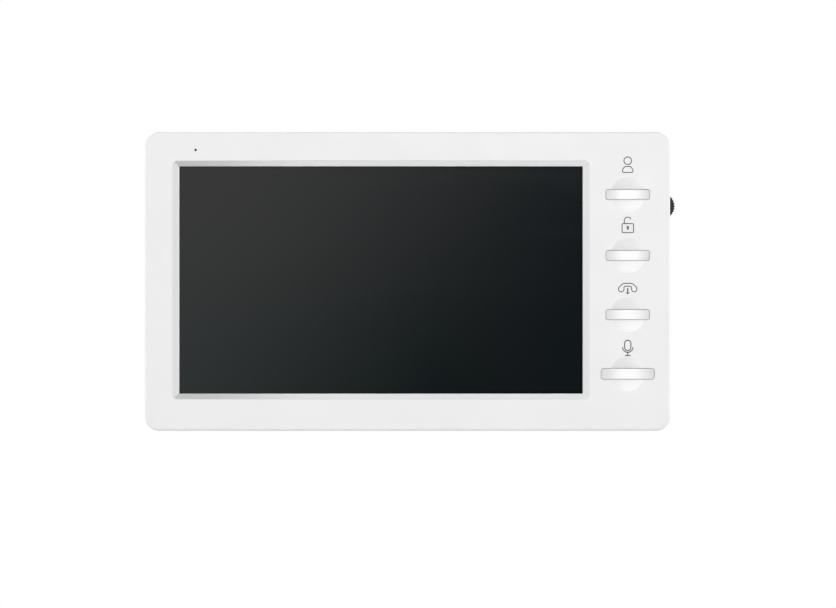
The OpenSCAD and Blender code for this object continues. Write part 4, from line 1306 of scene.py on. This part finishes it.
@dataclass
class Case:
    """The two covers and the screws that join them."""

    white: Colour = grey(0.79)
    front_white: Colour = grey(0.854)
    steel: Colour = (0.62, 0.61, 0.58)
    roughness: float = 0.42
    rear_tone: float = 0.985
    rear_roughness: float = 0.48
    rear_grain: float = 1.2e-5
    slopes: Pair = (2.9 * MM, 2.4 * MM)
    recess_drop: float = 1.2 * MM
    keys: tuple[str, ...] = ("monitor_key", "unlock_key", "hangup_key", "talk_key")

    def painted_shade(self, face: float) -> PaintedFaceShade:
        """Where the dimples and the recess lie, taken from the keys and the window.

        Args:
            face: Level of the front face.

        Returns:
            The painted light and shade of the front cover.
        """
        dimples = tuple(middle_and_half(key)[0] for key in self.keys)
        centre, opening = screen_opening()
        half = (opening[0] + self.slopes[0], opening[1] + self.slopes[1])
        return PaintedFaceShade(dimples, centre, half, opening, face, self.recess_drop)

    def build(self) -> list[bpy.types.Object]:
        """Dresses the covers, with a polish in each finger dimple.

        Returns:
            Its pieces.
        """
        _, outline = middle_and_half("front_cover")
        painted_shade = self.painted_shade(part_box("front_cover")[0].y)
        front = MouldedPlastic(
            "front_cover", self.front_white, self.roughness, outline=outline, painted_shade=painted_shade
        )
        grey_white = shade(self.white, self.rear_tone)
        rear = MouldedPlastic(
            "rear_cover", grey_white, self.rear_roughness, grain_depth=self.rear_grain
        )
        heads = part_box("case_screws")[1].y
        screw = Metal("case_screw", self.steel, 0.32, rounding=FINE_EDGE, head=heads)
        return [
            *dress(front, "front_cover"),
            *dress(rear, "rear_cover"),
            *dress(screw, "case_screws"),
        ]


@dataclass
class Screen:
    """The window, its tape, and the display module behind it."""

    tint: Colour = (0.006, 0.0062, 0.0062)
    steel: Colour = (0.66, 0.65, 0.62)
    bright_steel: Colour = (0.68, 0.67, 0.64)
    pale_film: Colour = (0.78, 0.79, 0.80)
    panel_black: Colour = (0.012, 0.013, 0.014)
    amber: Colour = (0.56, 0.28, 0.07)
    tape_black: Colour = grey(0.012)

    def build(self) -> list[bpy.types.Object]:
        """Dresses the window and the display.

        Returns:
            Its pieces.
        """
        centre, opening = screen_opening()
        window = SmokedGlass("window", self.tint, 0.03, centre=centre, opening=opening)
        backlight = MouldedPlastic("backlight", self.pale_film, 0.35, rounding=0.0)
        return [
            *dress(window, "screen_window"),
            *dress(Matte("tape", self.tape_black, 0.75, pore=2400.0), "window_tape"),
            *dress(Metal("display_frame", self.steel, 0.3, MetalSkin.ROLLED), "lcd_frame"),
            *dress(SmokedGlass("display_glass", self.panel_black, 0.12), "lcd_panel"),
            *dress(backlight, "lcd_backlight"),
            *dress(Metal("clamp", self.bright_steel, 0.28, MetalSkin.ROLLED), "lcd_clamps"),
            *dress(SMALL_SCREW, "lcd_clamp_screws"),
            *dress(FlatRibbon("display_ribbon", self.amber, 0.3), "lcd_ribbon"),
        ]


@dataclass
class KeyColumn:
    """Four keys with their plungers and switches."""

    white: Colour = grey(0.605)
    cover_steel: Colour = (0.7, 0.69, 0.66)
    dome_steel: Colour = (0.74, 0.72, 0.68)
    plunger_black: Colour = grey(0.03)
    short: BarShape = BarShape(0.7 * MM, 0.72 * MM, 2.5)
    long: BarShape = BarShape(1.0 * MM, 0.96 * MM, 3.0)

    def build(self) -> list[bpy.types.Object]:
        """Makes the keys and dresses what lies under them.

        Returns:
            Its pieces.
        """
        middle = middle_and_half("talk_key")[0][0]
        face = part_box("front_cover")[0].y
        gloss = LacqueredKey("key", self.white, 0.36, face=face, middle=middle)
        black = MouldedPlastic("plunger", self.plunger_black, 0.5, rounding=0.0)
        names = ("monitor", "unlock", "hangup", "talk")
        shapes = (self.short, self.short, self.short, self.long)
        cover = Metal("switch_cover", self.cover_steel, 0.3, MetalSkin.ROLLED)
        return [
            *(KeyBar(f"{name}_key", shape, gloss).build() for name, shape in zip(names, shapes)),
            *dress(black, *(f"{name}_plunger" for name in names), "switch_bodies"),
            *dress(cover, "switch_covers"),
            *dress(Metal("snap_dome", self.dome_steel, 0.22), "switch_domes"),
        ]


@dataclass
class VolumeControl:
    """The knurled wheel on its post."""

    black: Colour = (0.01, 0.0105, 0.01)
    base_black: Colour = (0.035, 0.035, 0.036)
    steel: Colour = (0.66, 0.65, 0.62)

    def build(self) -> list[bpy.types.Object]:
        """Makes the wheel and dresses its base and rivet.

        Returns:
            Its pieces.
        """
        rubber = MouldedPlastic(
            "wheel", self.black, 0.55, grain=3800.0, drift=0.7, rounding=0.0, specular=0.3
        )
        base = MouldedPlastic("volume_base", self.base_black, 0.5, rounding=FINE_EDGE)
        return [
            KnurledWheel(rubber).build(),
            *dress(base, "volume_pot"),
            *dress(Metal("rivet", self.steel, 0.28), "wheel_rivet"),
        ]


@dataclass
class Boards:
    """The two circuit boards and what is soldered or screwed to them."""

    green: Colour = (0.008, 0.07, 0.03)
    chip_black: Colour = (0.018, 0.018, 0.019)
    ferrite: Colour = (0.05, 0.05, 0.055)
    gold: Colour = (0.82, 0.6, 0.25)
    ivory: Colour = (0.76, 0.73, 0.64)
    film: Colour = (0.72, 0.72, 0.70)
    film_line: Colour = (0.5, 0.5, 0.49)
    film_pitch: float = 1.25 * MM
    can: Colour = (0.7, 0.69, 0.67)
    aluminium: Colour = (0.72, 0.72, 0.73)

    def build(self) -> list[bpy.types.Object]:
        """Dresses the boards and their parts.

        Returns:
            Its pieces.
        """
        board = CircuitBoard("board", self.green, 0.32)
        epoxy = Matte("chip", self.chip_black, 0.6, pore=5200.0, depth=6e-6, dusty=0.06)
        socket = MouldedPlastic("socket", self.ivory, 0.45, grain_depth=3e-6, rounding=FINE_EDGE)
        ribbon = FlatRibbon(
            "control_ribbon", self.film, 0.4, self.film_line, self.film_pitch, across_x=False
        )
        sockets = [f"{name}_sockets" for name in ("ribbon", "lead", "door")]
        return [
            *dress(board, "control_board", "main_board"),
            *dress(SMALL_SCREW, "control_board_screws", "main_board_screws"),
            *dress(ribbon, "control_ribbon"),
            *dress(Metal("shield", self.can, 0.3, MetalSkin.ROLLED), "shield_can"),
            *dress(epoxy, "processor", "memory_chips"),
            *dress(Metal("capacitor", self.aluminium, 0.34, MetalSkin.ROLLED), "capacitors"),
            *dress(Matte("ferrite", self.ferrite, 0.55, pore=2600.0), "power_coils"),
            *dress(socket, *sockets, "camera_socket", "power_socket"),
            *dress(Metal("contact", self.gold, 0.24), "socket_pins"),
        ]


@dataclass
class Sound:
    """The microphone and the speaker, with their leads."""

    black: Colour = grey(0.02)
    red: Colour = (0.45, 0.03, 0.025)
    zinc: Colour = grey(0.5)
    pulp: Colour = (0.02, 0.02, 0.021)
    ferrite: Colour = (0.3, 0.3, 0.32)

    def build(self) -> list[bpy.types.Object]:
        """Dresses the sound parts.

        Returns:
            Its pieces.
        """
        lead = MouldedPlastic("lead", self.red, 0.4, grain=2600.0, rounding=0.0)
        basket = Metal("basket", self.zinc, 0.36, MetalSkin.SPANGLED)
        foam = Matte("gasket", self.black, 0.9, pore=2200.0, depth=6e-5)
        return [
            *dress(Metal("microphone_can", self.black, 0.6, MetalSkin.PAINTED), "microphone"),
            *dress(Matte("boot", self.black, 0.7), "mic_boot"),
            *dress(lead, "mic_lead", "speaker_lead"),
            *dress(basket, "speaker_basket"),
            *dress(PressedPaper("cone", self.pulp, 0.8), "speaker_cone"),
            *dress(Metal("magnet", self.ferrite, 0.4), "speaker_magnet"),
            *dress(foam, "speaker_gasket"),
            *dress(SMALL_SCREW, "speaker_screws"),
        ]


@dataclass
class WallBracket:
    """The pressed steel plate on the wall."""

    zinc: Colour = (0.6, 0.61, 0.62)

    def build(self) -> list[bpy.types.Object]:
        """Dresses the bracket."""
        steel = Metal("zinc", self.zinc, 0.38, MetalSkin.SPANGLED, rounding=0.15 * MM)
        return dress(steel, "wall_bracket")


# Studio


@dataclass
class Studio:
    """Floor, lamps, reflection card, world and camera."""

    ambient: float = 0.35
    floor_level: float = -0.3
    floor_reach: float = 5.6
    floor_paper: StudioPaper = StudioPaper("floor", grey(0.9), 0.9)
    card_half: Pair = (0.6, 0.5)
    card_distance: float = 4.3
    distance: float = 4.0
    sensor: float = 36.0
    clip: Pair = (0.1, 30.0)
    frame_width: float = 0.3215
    aim: Pair = (0.00404, -0.00867)
    strip: LampPlan = ("strip_lamp", (0.0, -2.2, 1.7), (2.6, 0.5), 30.5)
    lamps: tuple[LampPlan, ...] = (
        ("front_lamp", (0.18, -3.0, 0.3), (0.2, 0.2), 18.5),
        ("left_lamp", (-2.8, 0.0, 0.5), (0.8, 0.8), 27.0),
        ("side_lamp", (2.6, 0.2, 0.4), (0.8, 0.8), 27.0),
        ("back_lamp", (-0.4, 2.6, 1.4), (1.0, 1.0), 20.0),
    )

    @staticmethod
    def lamp(name: str, place: Sequence[float], size: Pair, power: float) -> bpy.types.Object:
        """Hangs a soft lamp that faces the object.

        Args:
            name: Its name.
            place: Where it hangs.
            size: Its width and height in metres.
            power: Its power in watts.

        Returns:
            The lamp.
        """
        data = bpy.data.lights.new(name, "AREA")
        data.shape, data.size, data.size_y, data.energy = "RECTANGLE", *size, power
        made = added(name, data)
        made.location = place
        made.rotation_euler = (-Vector(place)).to_track_quat("-Z", "Y").to_euler()
        return made

    @staticmethod
    def unblocked(lamp: bpy.types.Object, pieces: Sequence[bpy.types.Object]) -> None:
        """Lets some pieces cast no shadow from one lamp.

        Args:
            lamp: The lamp.
            pieces: What it passes.
        """
        ignored = bpy.data.collections.new(f"{lamp.name}_ignores")
        for piece in pieces:
            ignored.objects.link(piece)
        for entry in ignored.collection_objects:
            entry.light_linking.link_state = "EXCLUDE"
        lamp.light_linking.blocker_collection = ignored

    def world(self) -> None:
        """Pale all round: white where it is seen directly or mirrored, and dimmer as a light."""
        world = bpy.data.worlds.new("studio")
        world.use_nodes = True
        bpy.context.scene.world = world
        graph = Graph(world.node_tree)
        ray = graph.node("ShaderNodeLightPath").socket.node.outputs
        seen = Field(graph, ray["Is Camera Ray"]).most(Field(graph, ray["Is Glossy Ray"]))
        seen = seen.most(Field(graph, ray["Is Transmission Ray"]))
        strength = seen * (1.0 - self.ambient) + self.ambient
        light = graph.node("ShaderNodeBackground", {"Color": WHITE, "Strength": strength})
        graph.node("ShaderNodeOutputWorld", {"Surface": light})

    @staticmethod
    def plane(name: str, corners: Sequence[Triple], finish: Finish) -> bpy.types.Object:
        """Makes a flat four-sided stage piece.

        Args:
            name: Its name.
            corners: Its four corners.
            finish: What covers it.

        Returns:
            Its object.
        """
        mesh = bpy.data.meshes.new(name)
        mesh.from_pydata(corners, [], [(0, 1, 2, 3)])
        mesh.materials.append(finish.material())
        made = added(name, mesh)
        return made

    def floor(self) -> None:
        """Lays the floor, which ends before it would rise into the view from the front."""
        signs = ((-1, -1), (1, -1), (1, 1), (-1, 1))
        corners = [(x * self.floor_reach, y * self.floor_reach, self.floor_level) for x, y in signs]
        self.plane("floor", corners, self.floor_paper)

    def card(self) -> None:
        """Hangs a card behind the camera that only mirrors see."""
        signs = ((-1, -1), (-1, 1), (1, 1), (1, -1))
        half_w, half_h = self.card_half
        corners = [(x * half_w, -self.card_distance, z * half_h) for x, z in signs]
        made = self.plane("card", corners, CardGlow("card", WHITE))
        made.visible_camera = made.visible_diffuse = made.visible_shadow = False
        made.visible_transmission = made.visible_volume_scatter = False

    def camera(self) -> None:
        """Stands the camera straight in front of the face, with a long lens."""
        data = bpy.data.cameras.new("camera")
        data.sensor_fit, data.sensor_width = "HORIZONTAL", self.sensor
        data.lens = self.sensor * self.distance / self.frame_width
        data.clip_start, data.clip_end = self.clip
        made = added("camera", data)
        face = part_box("front_cover")[0].y
        made.location = (self.aim[0], face - self.distance, self.aim[1])
        made.rotation_euler = (math.pi / 2, 0.0, 0.0)
        bpy.context.scene.camera = made

    def build(self, keys: Sequence[bpy.types.Object]) -> None:
        """Sets up everything round the object.

        Args:
            keys: Pieces that throw no shadow from the strip lamp into the dimples.
        """
        bpy.context.scene.view_settings.view_transform = "Standard"
        self.camera()
        self.world()
        self.floor()
        self.card()
        self.unblocked(self.lamp(*self.strip), keys)
        for plan in self.lamps:
            self.lamp(*plan)


def main() -> None:
    """Builds each sub-assembly and sets up the studio round them."""
    logging.basicConfig(level=logging.INFO, format="%(message)s")
    signs = PrintedSigns(PrintedInk("ink", grey(0.02), 0.5))
    fronts = (Case(), Screen(), KeyColumn(), VolumeControl(), signs)
    for assembly in (*fronts, Boards(), Sound(), WallBracket()):
        kind = type(assembly).__name__
        for piece in assembly.build():
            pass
    Studio().build([piece for piece in bpy.data.objects if piece.name.endswith("_key_bar")])


if __name__ == "__main__":
    main()
